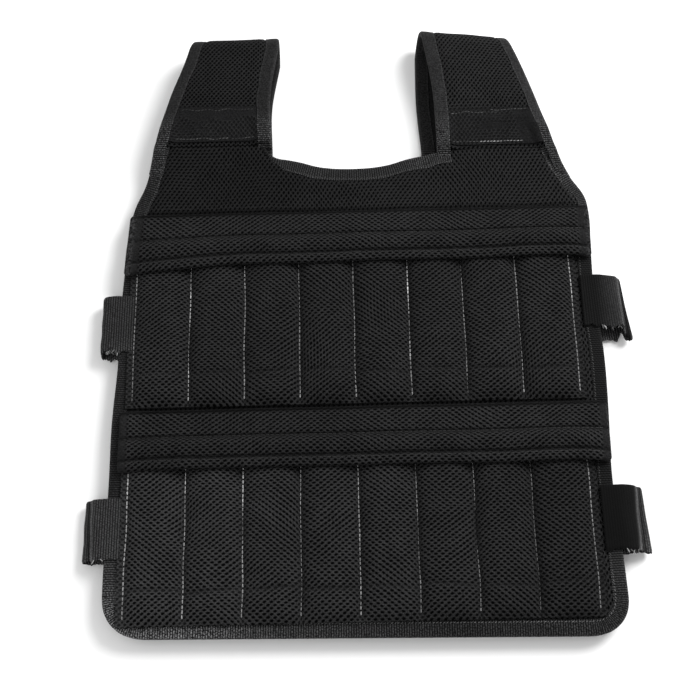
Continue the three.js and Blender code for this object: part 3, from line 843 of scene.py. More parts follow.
def panelTape(name, cadNode, path, side, height, tops, seed, front=True):
    path, along = resample(path, 2.2)
    inward = side * leftOf(unit(np.gradient(path, axis=0)))

    def place(into, up):
        x = path[:, :1] + inward[:, :1] * into
        y = np.minimum(path[:, 1:] + inward[:, 1:] * into, bySide(tops, x))
        return grid(x, y, height(y) + up)

    x, y = path[:, :1], path[:, 1:]
    if not front:
        return makeTape(name, cadNode, place, along, seed)
    width = tapeShare(x, y)
    if side > 0:
        dark = tapeDark["right"] * smooth(100, 150, x) * smooth(40, 120, y) * (1 - smooth(350, 390, y))
        dark = dark + tapeDark["left"] * smooth(-100, -150, x) * smooth(60, 150, y)
        hem = 1 - smooth(25, 60, y)
        dark = dark + hem * np.interp(x, hemDark["x"], hemDark["dark"])
        dark = dark - 0.25 * (1 - hem) * smooth(-150, -180, x) * (1 - smooth(80, 130, y))
        worn = wornAt(y, vest["neckY"] - 25) + 0.4 * smooth(380, 400, y) * (x > 0)
        worn = worn + (0.7 + 0.35 * smooth(-60, -140, x)) * (1 - smooth(30, 70, y))
        worn = worn + 0.35 * (x < 0) * smooth(30, 70, y)
    else:
        dark = tapeDark["neck"] + tapeDark["corner"] * smooth(-74, -80, x)
        worn = 0.25 + 0.3 * smooth(20, 80, x)
    return makeTape(name, cadNode, place, along, seed, width, 0.0, worn, dark)


panelTape("back_side_tape", "back_edge_tape", backEdge, 1, backMiddle, backTops, 11, False)
panelTape("back_scoop_tape", "back_neck_tape", backNeck, -1, backMiddle, backTops, 12, False)
panelTape("front_side_tape", "front_edge_tape", frontEdge, 1, frontMiddle, frontTops, 13)
panelTape("front_scoop_tape", "front_neck_tape", frontNeck, -1, frontMiddle, frontTops, 14)

# Shoulder straps, from the front joint over the fold and down to the back panel
strap = {"runSteps": 44, "foldSteps": 30, "acrossSteps": 34, "swellLength": 16.0, "dark": {-1: 0.2, 1: 0.03}}
strapTapes = {  # visible width of each tape as a share, and how far it runs on below the strap's end
    (-1, "outer"): {"width": 0.9, "lap": 26.0, "dark": 0.62, "worn": 0.4},
    (-1, "inner"): {"width": 1.0, "lap": 3.0, "dark": 0.68, "worn": 0.45},
    (1, "outer"): {"width": 0.7, "lap": 30.0, "dark": 0.36, "worn": 0.35},
    (1, "inner"): {"width": 1.0, "lap": 9.0, "dark": 0.58, "worn": 0.5},
}


def strapReach(y):  # share of the way from the back joint to the fold
    return np.clip((y - vest["backJoint"]) / (vest["foldY"] - vest["backJoint"]), 0, 1)


def strapLine(side, before=0.0):
    end = vest["strapEnd"][side]
    frontY = np.linspace(end - before, vest["foldY"], strap["runSteps"] + int(before / 2))
    onTape = frontMiddle(frontY) - 0.2  # a strap's tape runs on over the panel's own
    onTape = onTape + (tape["thickness"] + 0.3) * smooth(end - before, end - before + 8, frontY)
    frontZ = between(onTape, strapHeight(side, frontY), smooth(end - 0.8 * before, end + 3, frontY))
    backY = np.linspace(vest["foldY"], vest["backJoint"], strap["runSteps"])
    angles = np.linspace(0, math.pi, strap["foldSteps"] + 2)[1:-1]
    y = np.concatenate([frontY, vest["foldY"] + vest["foldRadius"] * np.sin(angles), backY])
    z = np.concatenate([frontZ if before else strapHeight(side, frontY),
                        vest["padHalf"] + vest["foldRadius"] * (1 + np.cos(angles)),
                        np.full(len(backY), vest["padHalf"])])
    outY = np.concatenate([0 * frontY, np.sin(angles), 0 * backY])
    outZ = np.concatenate([1 + 0 * frontY, np.cos(angles), -1 + 0 * backY])
    face = np.concatenate([0 * frontY, angles / math.pi, 1 + 0 * backY])
    columns = {"y": y, "z": z, "outY": outY, "outZ": outZ, "face": face, "reach": strapReach(y)}
    return {key: value[:, None] for key, value in columns.items()} | {"along": lengthAlong(grid(y, z))}


def strapPlace(line, side, x, up):
    lean = foldSlant[side] * (x - side * vest["strapMiddle"]) * line["reach"] ** 2
    y = line["y"] + lean + line["outY"] * up
    return grid(x, y, line["z"] + line["outZ"] * up)


def strapEdges(line, side):
    front = strapInner(side, "Front", line["reach"])
    back = strapInner(side, "Back", line["reach"])
    inner = side * between(front, back, line["face"])
    outer = sideX(side, line["y"]) - side * vest["backInset"] * line["face"]
    return inner, outer


def edgeSpread(count):  # shares from 0 to 1, closer together near both ends
    return 0.5 - 0.5 * np.cos(np.linspace(0, math.pi, count))


def strapSag(side, y, near):  # between its tapes a strap's end lies down on the panel
    end = vest["strapEnd"][side]
    raised = strapHeight(side, y) - frontMiddle(y) - vest["jointStep"]
    thinned = vest["rimHalf"] * 0.55 * (1 - smooth(end, end + 6, y))
    return (0.95 * raised + thinned) * smooth(12.5, 20, near)


def makeStrap(side):
    word = sideWord[side]
    line = strapLine(side)
    inner, outer = strapEdges(line, side)
    share = edgeSpread(strap["acrossSteps"])[None, :]
    a = inner + side * panel["rimStart"]
    b = outer - side * panel["rimStart"]
    x = between(a, b, share)
    y = line["y"] + 0 * x
    onFront = line["face"] < 0.5
    near = np.minimum(np.abs(x - inner), np.abs(x - outer) + 13 * (1 - strapTapes[side, "outer"]["width"]))
    high = vest["patchHigh"][side]
    thin = np.where(onFront, 1 - smooth(high, high + strap["swellLength"], y),
                    0.7 * smooth(vest["backJoint"] + 9, vest["backJoint"], y))
    half = padHalfAt(near, thin)
    end = vest["strapEnd"][side]
    half = half * np.where(onFront, 0.45 + 0.55 * smooth(end, end + 6, y), 1.0)
    swell = 0.35 * ripple(x, line["along"][:, None], 42, 30 + side) * smooth(14, 24, near) * (1 - thin)
    swell = np.where(onFront, swell, np.minimum(swell, 0))
    sag = strapSag(side, y, near) * onFront
    over = strapPlace(line, side, x, half + swell - sag)
    under = strapPlace(line, side, x, -half + 0.5 * swell - sag)
    uv = grid(x, line["along"][:, None])
    sewn = 0.6 * onFront * peak(y - high, 2.5)
    cloth = cloths[f"strap_mesh_{word}"]
    piece = addSheet(f"strap_pad_{word}", over, under, uv, cloth, "spacer_mesh", sewn, 0.85,
                     dark=strap["dark"][side])
    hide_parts(f"shoulder_strap_{word}")
    for edge, inward, seed in (("outer", -side, 20), ("inner", side, 24)):
        look = strapTapes[side, edge]
        run = strapLine(side, look["lap"])
        start = strapEdges(run, side)[edge == "outer"]
        start = start + side * 0.7 * (edge == "outer") * (1 - smooth(end - 4, end + 4, run["y"]))

        def place(into, up, run=run, start=start, inward=inward):
            return strapPlace(run, side, start + inward * into, up)

        front = run["face"] < 0.5
        ribbed = front * (1 - smooth(end + 12, end + 32, run["y"]))
        plain = 0.8 * (1 - ribbed)
        worn = front * 0.5 * (1 - smooth(end + 14, end + 40, run["y"])) + look["worn"]
        dark = look["dark"] * (1 - 0.6 * ribbed)
        makeTape(f"strap_binding_{word}_{edge}", f"strap_tape_{word}_{edge}", place, run["along"],
                 seed + side, look["width"], plain, worn, dark)


for side in (-1, 1):
    makeStrap(side)
print("tapes and straps made")

# Smooth patches on the sewn ends of the straps
patch = {"lift": 1.45, "thickness": 0.9, "inset": 13.4, "rows": 40, "columns": 80, "crumple": (-0.4, 2.2)}


def makePatch(side):
    word = sideWord[side]
    low, high = vest["patchLow"][side], vest["patchHigh"][side]
    y = np.linspace(low, high, patch["rows"])[:, None]
    innerEdge = side * strapInner(side, "Front", strapReach(y))
    a = innerEdge + side * patch["inset"]
    b = sideX(side, y) - side * (patch["inset"] - 13 * (1 - strapTapes[side, "outer"]["width"]))
    share = np.linspace(0, 1, patch["columns"])[None, :]
    x = between(a, b, share)
    y = y + 0 * x
    across = share + 0 * x
    down = (high - y) / (high - low)
    crumple = 0.32 * ripple(x, y, 16, 50 + side) + 0.15 * ripple(x, y, 7, 55 + side)
    if side > 0:  # spare cloth folded into a wedge that opens towards the outer edge
        ridge = y - (high - 9.0) - 3.0 * (across - 0.3)
        spread = smooth(0.28, 0.45, across) * (1 - smooth(0.9, 1.0, across))
        wedge = peak(ridge, np.where(ridge > 0, 1.6, 6.0))
        second = y - (high - 18.0) - 4.5 * (across - 0.5)
        lens = peak(second, 5.0) * peak(across - 0.5, 0.2)
        crumple = crumple + 1.5 * spread * wedge + 0.9 * lens
        plain = np.maximum(lens * 1.3, smooth(0.72, 0.8, across))
        plain = np.maximum(plain, 0.75 * spread * wedge)
        plain = np.maximum(plain, 0.7 * peak(down - 0.03, 0.05))
    else:  # a smooth strip along the top, then a wavy seam
        seam = down - 0.36 - 0.05 * np.sin(x / 5.0) - 0.04 * np.sin(x / 11.0 + 1.0)
        crumple = crumple + 0.6 * peak(seam, 0.05) - 0.4 * smooth(0.0, 0.12, down) * (seam < 0)
        plain = np.maximum(1 - smooth(-0.04, 0.05, seam), 0.8 * smooth(0.84, 0.9, down))
        plain = np.maximum(plain, 0.75 * smooth(-0.3, 0.5, ripple(x, y, 12, 58)) * smooth(0.35, 0.6, across))
    plain = np.maximum(plain, 0.4)
    pressed = smooth(0, 4, y - low) * (1 - smooth(high - 4, high - 0.5, y))
    near = np.minimum(np.abs(x - innerEdge), np.abs(x - sideX(side, y)))
    base = strapHeight(side, y) + patch["lift"] - strapSag(side, y, near)
    over = grid(x, y, base + patch["thickness"] + np.clip(crumple, *patch["crumple"]) * pressed)
    under = grid(x, y, base)
    piece = addSheet(f"strap_patch_{word}", over, under, grid(x, y), cloths["patch_cloth"], "woven_patch",
                     plain)
    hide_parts(f"shoulder_patch_{word}")
    return over


patchTops = {side: makePatch(side) for side in (-1, 1)}

# Rows of sewn pockets: one sheet for each row, stitched down between the pockets
pocket = {
    "pitch": 50.0,
    "count": 8,
    "shift": -1.5,
    "hollow": 7.5,
    "wall": 1.8,
    "seamTop": 1.5,  # the cloth's upper face at a stitch line, above the chest
    "margin": 6.0,  # flat strip beyond the outermost stitches
    "archPower": 2.6,
    "archSharp": 0.72,
    "columns": 24,
    "rows": 96,
}
fullRows = {
    "along": (0.0, 0.035, 0.09, 0.155, 0.225, 0.65, 1.0),
    "full": (0.0, 0.6, 0.95, 1.0, 1.0, 1.0, 0.9),
}
pocketRows = {
    "lower": {"bottom": 15.0, "mouth": 168.0, "seed": 60, "dark": (-0.4, 0.0, 0.28)},  # left, middle, right
    "upper": {"bottom": 211.5, "mouth": 368.0, "seed": 80, "dark": (0.05, 0.2, 0.2)},
}
pocketFloor = vest["chestTop"] + vest["gap"]


def pocketGrid(row):
    def each(low, high):  # one number drawn for each pocket, set out along the row
        return draw.uniform(low, high, pocket["count"])[pockets][None, :]

    draw = np.random.default_rng(row["seed"])
    steps = -np.cos(np.linspace(0, math.pi, pocket["columns"] + 1))
    first = pocket["shift"] - pocket["count"] * pocket["pitch"] / 2
    x, t, pockets = [], [], []
    for i in range(pocket["count"]):
        part = steps if i == pocket["count"] - 1 else steps[:-1]
        x.append(first + (i + 0.5 + part / 2) * pocket["pitch"])
        t.append(part)
        pockets.append(np.full(len(part), i))
    strip = np.array([1.0, 0.7, 0.35]) * pocket["margin"]
    x = np.concatenate([first - strip, *x, first + pocket["count"] * pocket["pitch"] + strip[::-1]])
    t = np.concatenate([[-1.0] * 3, *t, [1.0] * 3])
    pockets = np.concatenate([[0] * 3, *pockets, [pocket["count"] - 1] * 3])
    along = edgeSpread(pocket["rows"])[:, None] * 0.35 + np.linspace(0, 1, pocket["rows"])[:, None] * 0.65
    y = between(row["bottom"], row["mouth"], along) + 0 * x[None, :]
    x = x[None, :] + 0 * y
    t = np.clip(t[None, :] + 0 * y, -1, 1)
    full = alongRows(fullRows, "along", "full", along + 0 * x)
    plump = each(0.93, 1.0)
    crown = each(-0.12, 0.12)
    arch = np.clip(1 - np.abs(t) ** pocket["archPower"], 0, 1) ** pocket["archSharp"] * (1 + crown * t)
    creaseAt = each(-2.5, 2.5)
    creaseDepth = each(0.9, 2.0)
    creaseY = between(row["bottom"], row["mouth"], 0.19) + creaseAt + 2.2 * t * np.sin(pockets)[None, :]
    crease = creaseDepth * peak(y - creaseY, 1.7) * arch
    plain = 0.35 * peak(y - creaseY, 1.6) + 0.3 * (1 - smooth(0, 5, (1 - np.abs(t)) * 25))
    seamGap = (1 - np.abs(t)) * pocket["pitch"] / 2
    pitch = each(10, 15)
    phase = each(0, 6.28)
    tugAt = 2 * math.pi * (y + 0.35 * seamGap * np.sign(t)) / pitch
    tug = np.sin(tugAt + phase + ripple(x, y, 40, row["seed"]))
    pucker = 0.6 * tug * np.exp(-seamGap / 7.0) * smooth(0, 2.5, seamGap)
    soft = 0.45 * ripple(x, y, 38, row["seed"] + 1) * arch + 0.18 * ripple(x, y, 15, row["seed"] + 2) * arch
    height = pocket["hollow"] * full * arch * plump - crease * full + (pucker + soft) * full
    seamLine = smooth(0.0, 5.0, seamGap)
    rise = between(pocket["seamTop"], pocket["wall"], seamLine)
    over = pocketFloor + rise + np.maximum(height, 0)
    under = np.maximum(over - pocket["wall"], pocketFloor)
    wander = 0.5 * ripple(y, 17.0 * pockets[None, :], 55, row["seed"] + 3) * (1 - seamLine)
    return x + wander, y, over, under, plain


def makePocketRow(word):
    row = pocketRows[word]
    x, y, over, under, plain = pocketGrid(row)
    middle = over.shape[0] // 2
    across = lengthAlong(grid(x[middle], over[middle]))
    uv = grid(across[None, :], y)
    top = grid(x, y, over)
    dark = np.interp(x, (-190, 0, 190), row["dark"])
    piece = addSheet(f"{word}_pockets", top, grid(x, y, under), uv, cloths["pocket_mesh"], "spacer_mesh",
                     plain, dark=dark)
    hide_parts(*[f"{word}_pocket_{i + 1}" for i in range(pocket["count"])])
    return top


pocketTops = {word: makePocketRow(word) for word in ("lower", "upper")}
print("pockets made")

# Flaps over the pocket mouths, with two quilted ridges and a hem
flap = {"height": 59.0, "thickness": 4.6, "columns": 230, "rows": 110, "corner": 4.0, "round": 1.6}
quilting = (  # the two sewn rows: where they lie as a share of the height, their depth and their widths
    {"down": 0.475, "deep": 1.7, "width": 1.5, "plainWidth": 1.6},
    {"down": 0.825, "deep": 1.3, "width": 1.3, "plainWidth": 1.4},
)
flapRows = {
    "down": (0.0, 0.05, 0.13, 0.24, 0.35, 0.43, 0.475, 0.52, 0.6, 0.7, 0.78, 0.825, 0.87, 0.93, 1.0),
    "lift": (0.0, 0.01, 0.05, 0.14, 0.33, 0.52, 0.64, 0.77, 0.94, 1.0, 1.0, 1.0, 1.0, 1.0, 1.0),
    "thick": (0.4, 0.72, 1.0, 1.05, 0.92, 0.66, 0.45, 0.68, 1.0, 1.0, 0.72, 0.5, 0.7, 0.78, 0.55),
}
flapEnds = {
    "across": (-1.0, -0.955, -0.86, -0.55, 0.0, 0.55, 0.86, 0.955, 1.0),
    "lift": (0.3, 0.62, 1.0, 1.0, 1.0, 1.0, 1.0, 0.62, 0.3),
    "drop": (1.0, 1.0, 0.9, 0.2, 0.0, -0.1, -0.3, -0.4, -0.4),
}
flaps = {  # where the two ends lie at the seam and at the hem, and the width of the bands along them
    "lower": {"seam": 209.0, "drop": 0.0, "seed": 100, "left": (-212.0, -211.5), "right": (221.0, 220.0),
              "bandLeft": 7.0, "bandRight": 7.5, "wornLeft": 0.0, "wornRight": 2.0,
              "pale": 0.3, "paleTo": 25.0},
    "upper": {"seam": 408.0, "drop": 7.0, "seed": 120, "left": (-210.5, -214.0), "right": (222.0, 220.5),
              "bandLeft": 13.0, "bandRight": 11.0, "wornLeft": 7.0, "wornRight": 5.0,
              "pale": 0.55, "paleTo": 13.0},
}


def roundedRim(away, width, least):  # height of a rim as a share, at a distance from its edge
    return np.sqrt(np.clip(1 - (1 - np.minimum(away, width) / width) ** 2, least, 1))


def flapGrid(part):
    across = 0.3 * (2 * edgeSpread(flap["columns"]) - 1) + 0.7 * np.linspace(-1, 1, flap["columns"])
    across = across[None, :]
    down = (0.45 * edgeSpread(flap["rows"]) + 0.55 * np.linspace(0, 1, flap["rows"]))[:, None]
    cornerDown = np.clip(1 - np.minimum(down, 1 - down) * flap["height"] / flap["corner"], 0, 1)
    cut = flap["corner"] * (1 - np.sqrt(1 - cornerDown ** 2)) * smooth(0.9, 1.0, np.abs(across))
    left = between(*part["left"], down)
    right = between(*part["right"], down)
    x = left + (right - left) * (across + 1) / 2 - np.sign(across) * cut
    drop = part["drop"] * alongRows(flapEnds, "across", "drop", across)
    bow = 0.8 * ripple(x, 0.0, 90, part["seed"])
    y = part["seam"] - (flap["height"] + drop) * down + bow * (0.3 + 0.7 * down)
    lift = pocket["hollow"] * 1.03 + 2.3
    rise = lift * alongRows(flapRows, "down", "lift", down) * alongRows(flapEnds, "across", "lift", across)
    thick = flap["thickness"] * alongRows(flapRows, "down", "thick", down) + 0 * across
    cell = (x - pocket["shift"]) / pocket["pitch"]
    dip = np.cos(2 * math.pi * cell) * smooth(0.5, 0.9, down)  # highest over the middle of each pocket
    body = np.sin(math.pi * np.clip(down, 0, 1)) ** 0.5
    soft = (0.35 * ripple(x, y, 34, part["seed"] + 1) + 0.2 * ripple(x, y, 13, part["seed"] + 2)) * body
    tug = np.sin(2 * math.pi * x / 11.5 + 2.5 * ripple(x, 0.0, 60, part["seed"] + 3))
    for row in quilting:  # gathers along the sewn rows
        soft = soft + 0.35 * tug * np.exp(-np.abs(down - row["down"]) * flap["height"] / 4.0)
    fromEnd = (1 - np.abs(across)) * (right - left) / 2
    band = np.where(across < 0, part["bandLeft"], part["bandRight"])
    fromSeam = down * flap["height"]
    fromEdge = np.minimum(down, 1 - down) * flap["height"]
    creases = peak(fromEnd - band, 1.3) * body + 1.1 * peak(fromSeam - 1.8, 1.2)
    plain = 0.9 * (1 - smooth(band - 1, band + 1, fromEnd))
    plain = np.maximum(plain, 0.85 * peak(fromSeam, 3.0))
    # painted shade in a band along the flap's sewn top edge
    dark = (0.85 - 0.12 * across) * peak(fromSeam - 2.6, 2.0)
    for row in quilting:
        away = (down - row["down"]) * flap["height"]
        creases = creases + row["deep"] * peak(away, row["width"])
        plain = np.maximum(plain, 0.45 * peak(away, row["plainWidth"]))
        # painted shade along each quilted crease
        dark = dark + 0.35 * peak(away, row["width"])
    rounded = roundedRim(fromEdge, flap["round"], 0.03) * roundedRim(fromEnd, flap["round"], 0.03)
    thick = thick * (0.7 + 0.3 * smooth(0, band + 3, fromEnd))
    under = pocketFloor + rise
    height = thick - 0.3 * (1 - dip) * smooth(0.5, 0.9, down) + soft - creases
    over = under + np.maximum(height, 0.6) * rounded
    wornWidth = np.where(across < 0, part["wornLeft"], part["wornRight"])
    worn = 0.75 * (1 - smooth(wornWidth - 1.5, wornWidth + 0.5, fromEnd)) * (wornWidth > 0)
    dark = dark - part["pale"] * (across < 0) * (1 - smooth(0.3 * part["paleTo"], part["paleTo"], fromEnd))
    return x, y, over, under, plain, {"worn": worn, "dark": dark}


def makeFlap(word):
    x, y, over, under, plain, marks = flapGrid(flaps[word])
    middle = over.shape[1] // 2
    down = lengthAlong(grid(y[:, middle], over[:, middle]))
    uv = grid(x, -down[:, None])
    top = grid(x, y, over)
    piece = addSheet(f"{word}_pocket_flap", top, grid(x, y, under), uv, cloths["flap_mesh"], "spacer_mesh",
                     plain, **marks)
    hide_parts(f"{word}_flap")
    float(np.ptp(x)) * 0.001
    return top


flapTops = {word: makeFlap(word) for word in ("lower", "upper")}
print("flaps made")

# Side loops of webbing
loop = {"thickness": 1.7, "width": 50.0, "lap": 13.0, "rows": 34, "columns": 90, "round": 1.2}
# dark darkens each loop's front layer; edge, ramp and behind set its painted highlight and painted shade
loopRows = {
    "left_upper": {"side": -1, "low": 267, "high": 323, "reachLow": 18, "reachHigh": 17, "fold": 0.96,
                   "dark": 0.38, "plain": 0.0, "ragged": 1.6, "edge": 0.5, "ramp": 0.0, "behind": 0.0},
    "left_lower": {"side": -1, "low": 74, "high": 128, "reachLow": 21, "reachHigh": 20, "fold": 0.55,
                   "dark": 0.12, "plain": 0.0, "ragged": 0.6, "edge": 1.9, "ramp": 0.0, "behind": 0.0},
    "right_upper": {"side": 1, "low": 273, "high": 334, "reachLow": 33, "reachHigh": 26, "fold": 0.74,
                    "dark": 0.45, "plain": 0.4, "ragged": 1.5, "edge": 0.6, "ramp": 0.47, "behind": 0.6,
                    "notch": (0.68, 9.0), "short": 9.0},
    "right_lower": {"side": 1, "low": 72, "high": 130, "reachLow": 29, "reachHigh": 25, "fold": 0.62,
                    "dark": 0.91, "plain": 0.75, "ragged": 1.3, "edge": 1.3, "ramp": 0.06, "behind": 0.0},
}


def roundCurve(points, count):
    path = soften(resample(np.array(points, float), 0.8)[0], 10)
    lengths = lengthAlong(path)
    return pointsAt(path, lengths, np.linspace(0, lengths[-1], count))


def loopSection(edge, reach, fold):
    half = loop["thickness"] / 2
    top = pocketFloor + half
    low = 2 * vest["padHalf"] + vest["gap"] + half
    out = reach - half
    span = top - low
    points = [
        (edge - loop["lap"], top),
        (edge - 1, top),
        (edge + 0.35 * fold * out, top - 0.02 * span),
        (edge + 0.8 * fold * out, top - 0.12 * span),
        (edge + fold * out, top - 0.3 * span),
        (edge + (0.9 * fold + 0.06) * out, top - 0.52 * span),
        (edge + (0.4 * fold + 0.56) * out, low + 0.42 * span),
        (edge + out, low + 0.12 * span),
        (edge + 0.93 * out, low - 0.28 * span),
        (edge + 0.62 * out, low - 0.42 * span),
        (edge + 0.32 * out, low - 0.3 * span),
        (edge + 0.08 * out, low - 0.06 * span),
        (edge - vest["backInset"] - 1, low),
        (edge - loop["lap"], low),
    ]
    return roundCurve(points, loop["columns"])


def makeLoop(name):
    row = loopRows[name]
    side = row["side"]
    share = np.linspace(0, 1, loop["rows"])
    edge = abs(float(sideX(side, (row["low"] + row["high"]) / 2)))
    reach = between(row["reachLow"], row["reachHigh"], share)
    fold = np.minimum(row["fold"] + 0.12 * share, 0.98)
    section = np.stack([loopSection(edge, *pair) for pair in zip(reach, fold)])  # rows across the webbing
    along = lengthAlong(section[loop["rows"] // 2])
    normal = leftOf(unit(np.gradient(section, axis=1)))
    up, run = share[:, None], along[None, :]
    rim = np.minimum(share, 1 - share) * loop["width"]
    half = loop["thickness"] / 2 * roundedRim(rim, loop["round"], 0.12)[:, None, None]
    seed = 140 + sorted(loopRows).index(name) * 5
    y = between(row["low"], row["high"], up) + 0 * run
    ragged = np.exp(-up * 11) * row["ragged"]
    y = y + ragged * (ripple(run, 0.0, 8, seed) + 0.6 * ripple(run, 0.0, 2.6, seed + 3))
    if "notch" in row:  # torn here, this far up from the lower edge
        torn = (section[..., 0] - edge) / row["reachLow"] - row["notch"][0]
        y = y + row["notch"][1] * peak(torn, 0.07) * (1 - up) ** 6
        overlay = 1 - smooth(0.3, 0.42, run / along[-1])  # the layer in front is cut shorter
        y = y + row["short"] * overlay * (1 - up) ** 4
    y = y + 0.9 * ripple(run, 0.0, 40, seed + 1) * smooth(8, 20, run)
    sway = 0.4 * ripple(y, run, 30, seed + 2) * smooth(12, 22, run) * smooth(12, 22, along[-1] - run)
    middle = section + normal * sway[..., None]
    faces = (middle + normal * half, middle - normal * half)
    sheets = [grid(side * face[..., 0], y, face[..., 1]) for face in faces]
    out = (section[..., 0] - edge) / reach[:, None]
    fold = row["fold"] * 0.94 + 0.12 * up
    upper = run < 0.52 * along[-1]
    # painted highlight along the fold and near the outer edge, painted shadow just past the fold; the front
    # layer is darkened by the row's dark, with painted shade growing towards its inner end (ramp) and on the
    # layer past the fold (behind)
    front = upper * (1 - smooth(fold - 0.05, fold + 0.02, out))
    light = upper * (peak(out - fold, 0.05) + 0.7 * smooth(0.86, 0.95, out))
    shaded = upper * peak(out - fold - 0.13, 0.06)
    dark = row["dark"] * front - row["edge"] * light + 0.7 * shaded
    dark = dark + row["ramp"] * front * (1 - np.clip(out / fold, 0, 1))
    dark = dark + row["behind"] * upper * smooth(fold + 0.03, fold + 0.08, out)
    worn = 0.3 + 0.5 * np.exp(-up * 14) * min(row["ragged"], 1.0)
    plain = row["plain"] * front
    piece = addSheet(f"webbing_{name}", *sheets, grid(run, y), cloths["side_webbing"], "webbing", plain,
                     worn=worn * (1 - 0.6 * plain), dark=dark)
    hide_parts(f"side_loop_{name}")
    return sheets[0], along


loopTops = {name: makeLoop(name) for name in loopRows}
print("side loops made")

# Stitches: one is modelled and copied along every seam
stitch = {"length": 3.3, "step": 4.2, "radius": 0.42, "flat": 0.75, "raised": 0.25}


def modelStitch():
    bpy.ops.object.select_all(action="DESELECT")
    bpy.ops.mesh.primitive_cylinder_add(vertices=6, radius=1.0, depth=1.2, end_fill_type="NGON")
    made = bpy.context.active_object
    made.name = "stitch_model"
    bpy.ops.object.mode_set(mode="EDIT")
    for end in (1, -1):
        bpy.ops.mesh.select_all(action="DESELECT")
        bpy.ops.object.mode_set(mode="OBJECT")
        for face in made.data.polygons:
            face.select = face.normal.z * end > 0.9
        bpy.ops.object.mode_set(mode="EDIT")
        bpy.ops.mesh.extrude_region_move(TRANSFORM_OT_translate={"value": (0, 0, end * 0.4)})
        bpy.ops.transform.resize(value=(0.45, 0.45, 1.0))
    bpy.ops.object.mode_set(mode="OBJECT")
    points = np.array([v.co for v in made.data.vertices])
    faces = [list(f.vertices) for f in made.data.polygons]
    bpy.data.objects.remove(made)
    triangles = [(f[0], f[i], f[i + 1]) for f in faces for i in range(1, len(f) - 1)]
    return points, np.array(triangles)


stitchPoints, stitchFaces = modelStitch()


def seamStitches(path, ups, shades, seed, slant=0.0, **sizes):
    look = stitch | sizes
    step = look["step"]
    draw = np.random.default_rng(seed)
    lengths = lengthAlong(path)
    centres = np.arange(step / 2, lengths[-1] - step / 3, step)
    centres = centres + draw.uniform(-0.12, 0.12, len(centres)) * step
    place = pointsAt(path, lengths, centres)
    along = unit(pointsAt(path, lengths, centres + 1.5) - pointsAt(path, lengths, centres - 1.5))
    across = unit(np.cross(pointsAt(ups, lengths, centres), along))
    up = np.cross(along, across)
    turn = slant + draw.uniform(-0.12, 0.12, len(centres))[:, None]
    along, across = along * np.cos(turn) + across * np.sin(turn), across * np.cos(turn) - along * np.sin(turn)
    shade = np.interp(centres, lengths, shades) * draw.uniform(0.6, 1.3, len(centres))
    length = look["length"] * draw.uniform(0.85, 1.12, len(centres))
    place = place + up * look["radius"] * stitch["raised"]
    return [(*row, look["radius"]) for row in zip(place, along, across, up, shade, length)]


def joinStitches(name, placed, slot):
    points, faces, shades = [], [], []
    for i, (place, along, across, up, shade, length, radius) in enumerate(placed):
        local = stitchPoints * np.array([radius, radius * stitch["flat"], length * 0.5])
        points.append(place + local[:, :1] * across + local[:, 1:2] * up + local[:, 2:] * along)
        faces.append(stitchFaces + i * len(stitchPoints))
        shades.append(np.full(len(stitchPoints), shade))
    return addPiece(name, np.concatenate(points), np.concatenate(faces), None, threadCloth, slot,
                    shade=np.concatenate(shades))


def gridNormals(top):
    normal = unit(np.cross(np.gradient(top, axis=1), np.gradient(top, axis=0)))
    return normal * np.sign(normal[..., 2:])


seamShades = {  # of each stitch line
    "upper": (0.20, 0.34, 0.21, 0.27, 0.28, 0.27, 0.18, 0.24, 0.20),
    "lower": (0.30, 0.28, 0.30, 0.25, 0.30, 0.17, 0.19, 0.11, 0.16),
}
seamTops = {  # how much lighter the upper third of a line is than the rest
    "upper": (1.0, 1.7, 1.0, 1.0, 0.7, 1.7, 1.0, 1.0, 1.6),
    "lower": (1.2, 1.0, 1.1, 1.0, 1.0, 1.0, 1.0, 1.0, 1.0),
}


def pocketStitches(word):
    top = pocketTops[word]
    placed = []
    for i in range(pocket["count"] + 1):
        column = 3 + i * pocket["columns"]
        path = top[:, column]
        path = path[path[:, 1] > path[0, 1] + 5.0]
        ups = np.zeros_like(path) + (0, 0, 1)
        base = seamShades[word][i]
        shades = base * (0.95 + 0.35 * ripple(path[:, 1], 0.0, 45, 200 + i))
        share = (path[:, 1] - path[0, 1]) / np.ptp(path[:, 1])
        shades = shades * (0.85 + (seamTops[word][i] - 0.85) * smooth(0.5, 0.75, share))
        thick = 0.82 if base > 0.2 else 0.66
        placed += seamStitches(path, ups, np.clip(shades, 0.05, 1), 210 + i, radius=thick)
    return placed


def flapStitches(word):
    top = flapTops[word]
    normals = gridNormals(top)
    placed = []
    for n, quilt in enumerate(quilting):
        row = int(round(quilt["down"] * (flap["rows"] - 1)))
        path, ups = top[row, 3:-3], normals[row, 3:-3]
        placed += seamStitches(path, ups, np.full(len(path), 0.006), 231 + n, radius=0.34)
    return placed


for word in ("lower", "upper"):
    joinStitches(f"{word}_pocket_stitches", pocketStitches(word), "spacer_mesh")
    joinStitches(f"{word}_flap_stitches", flapStitches(word), "spacer_mesh")


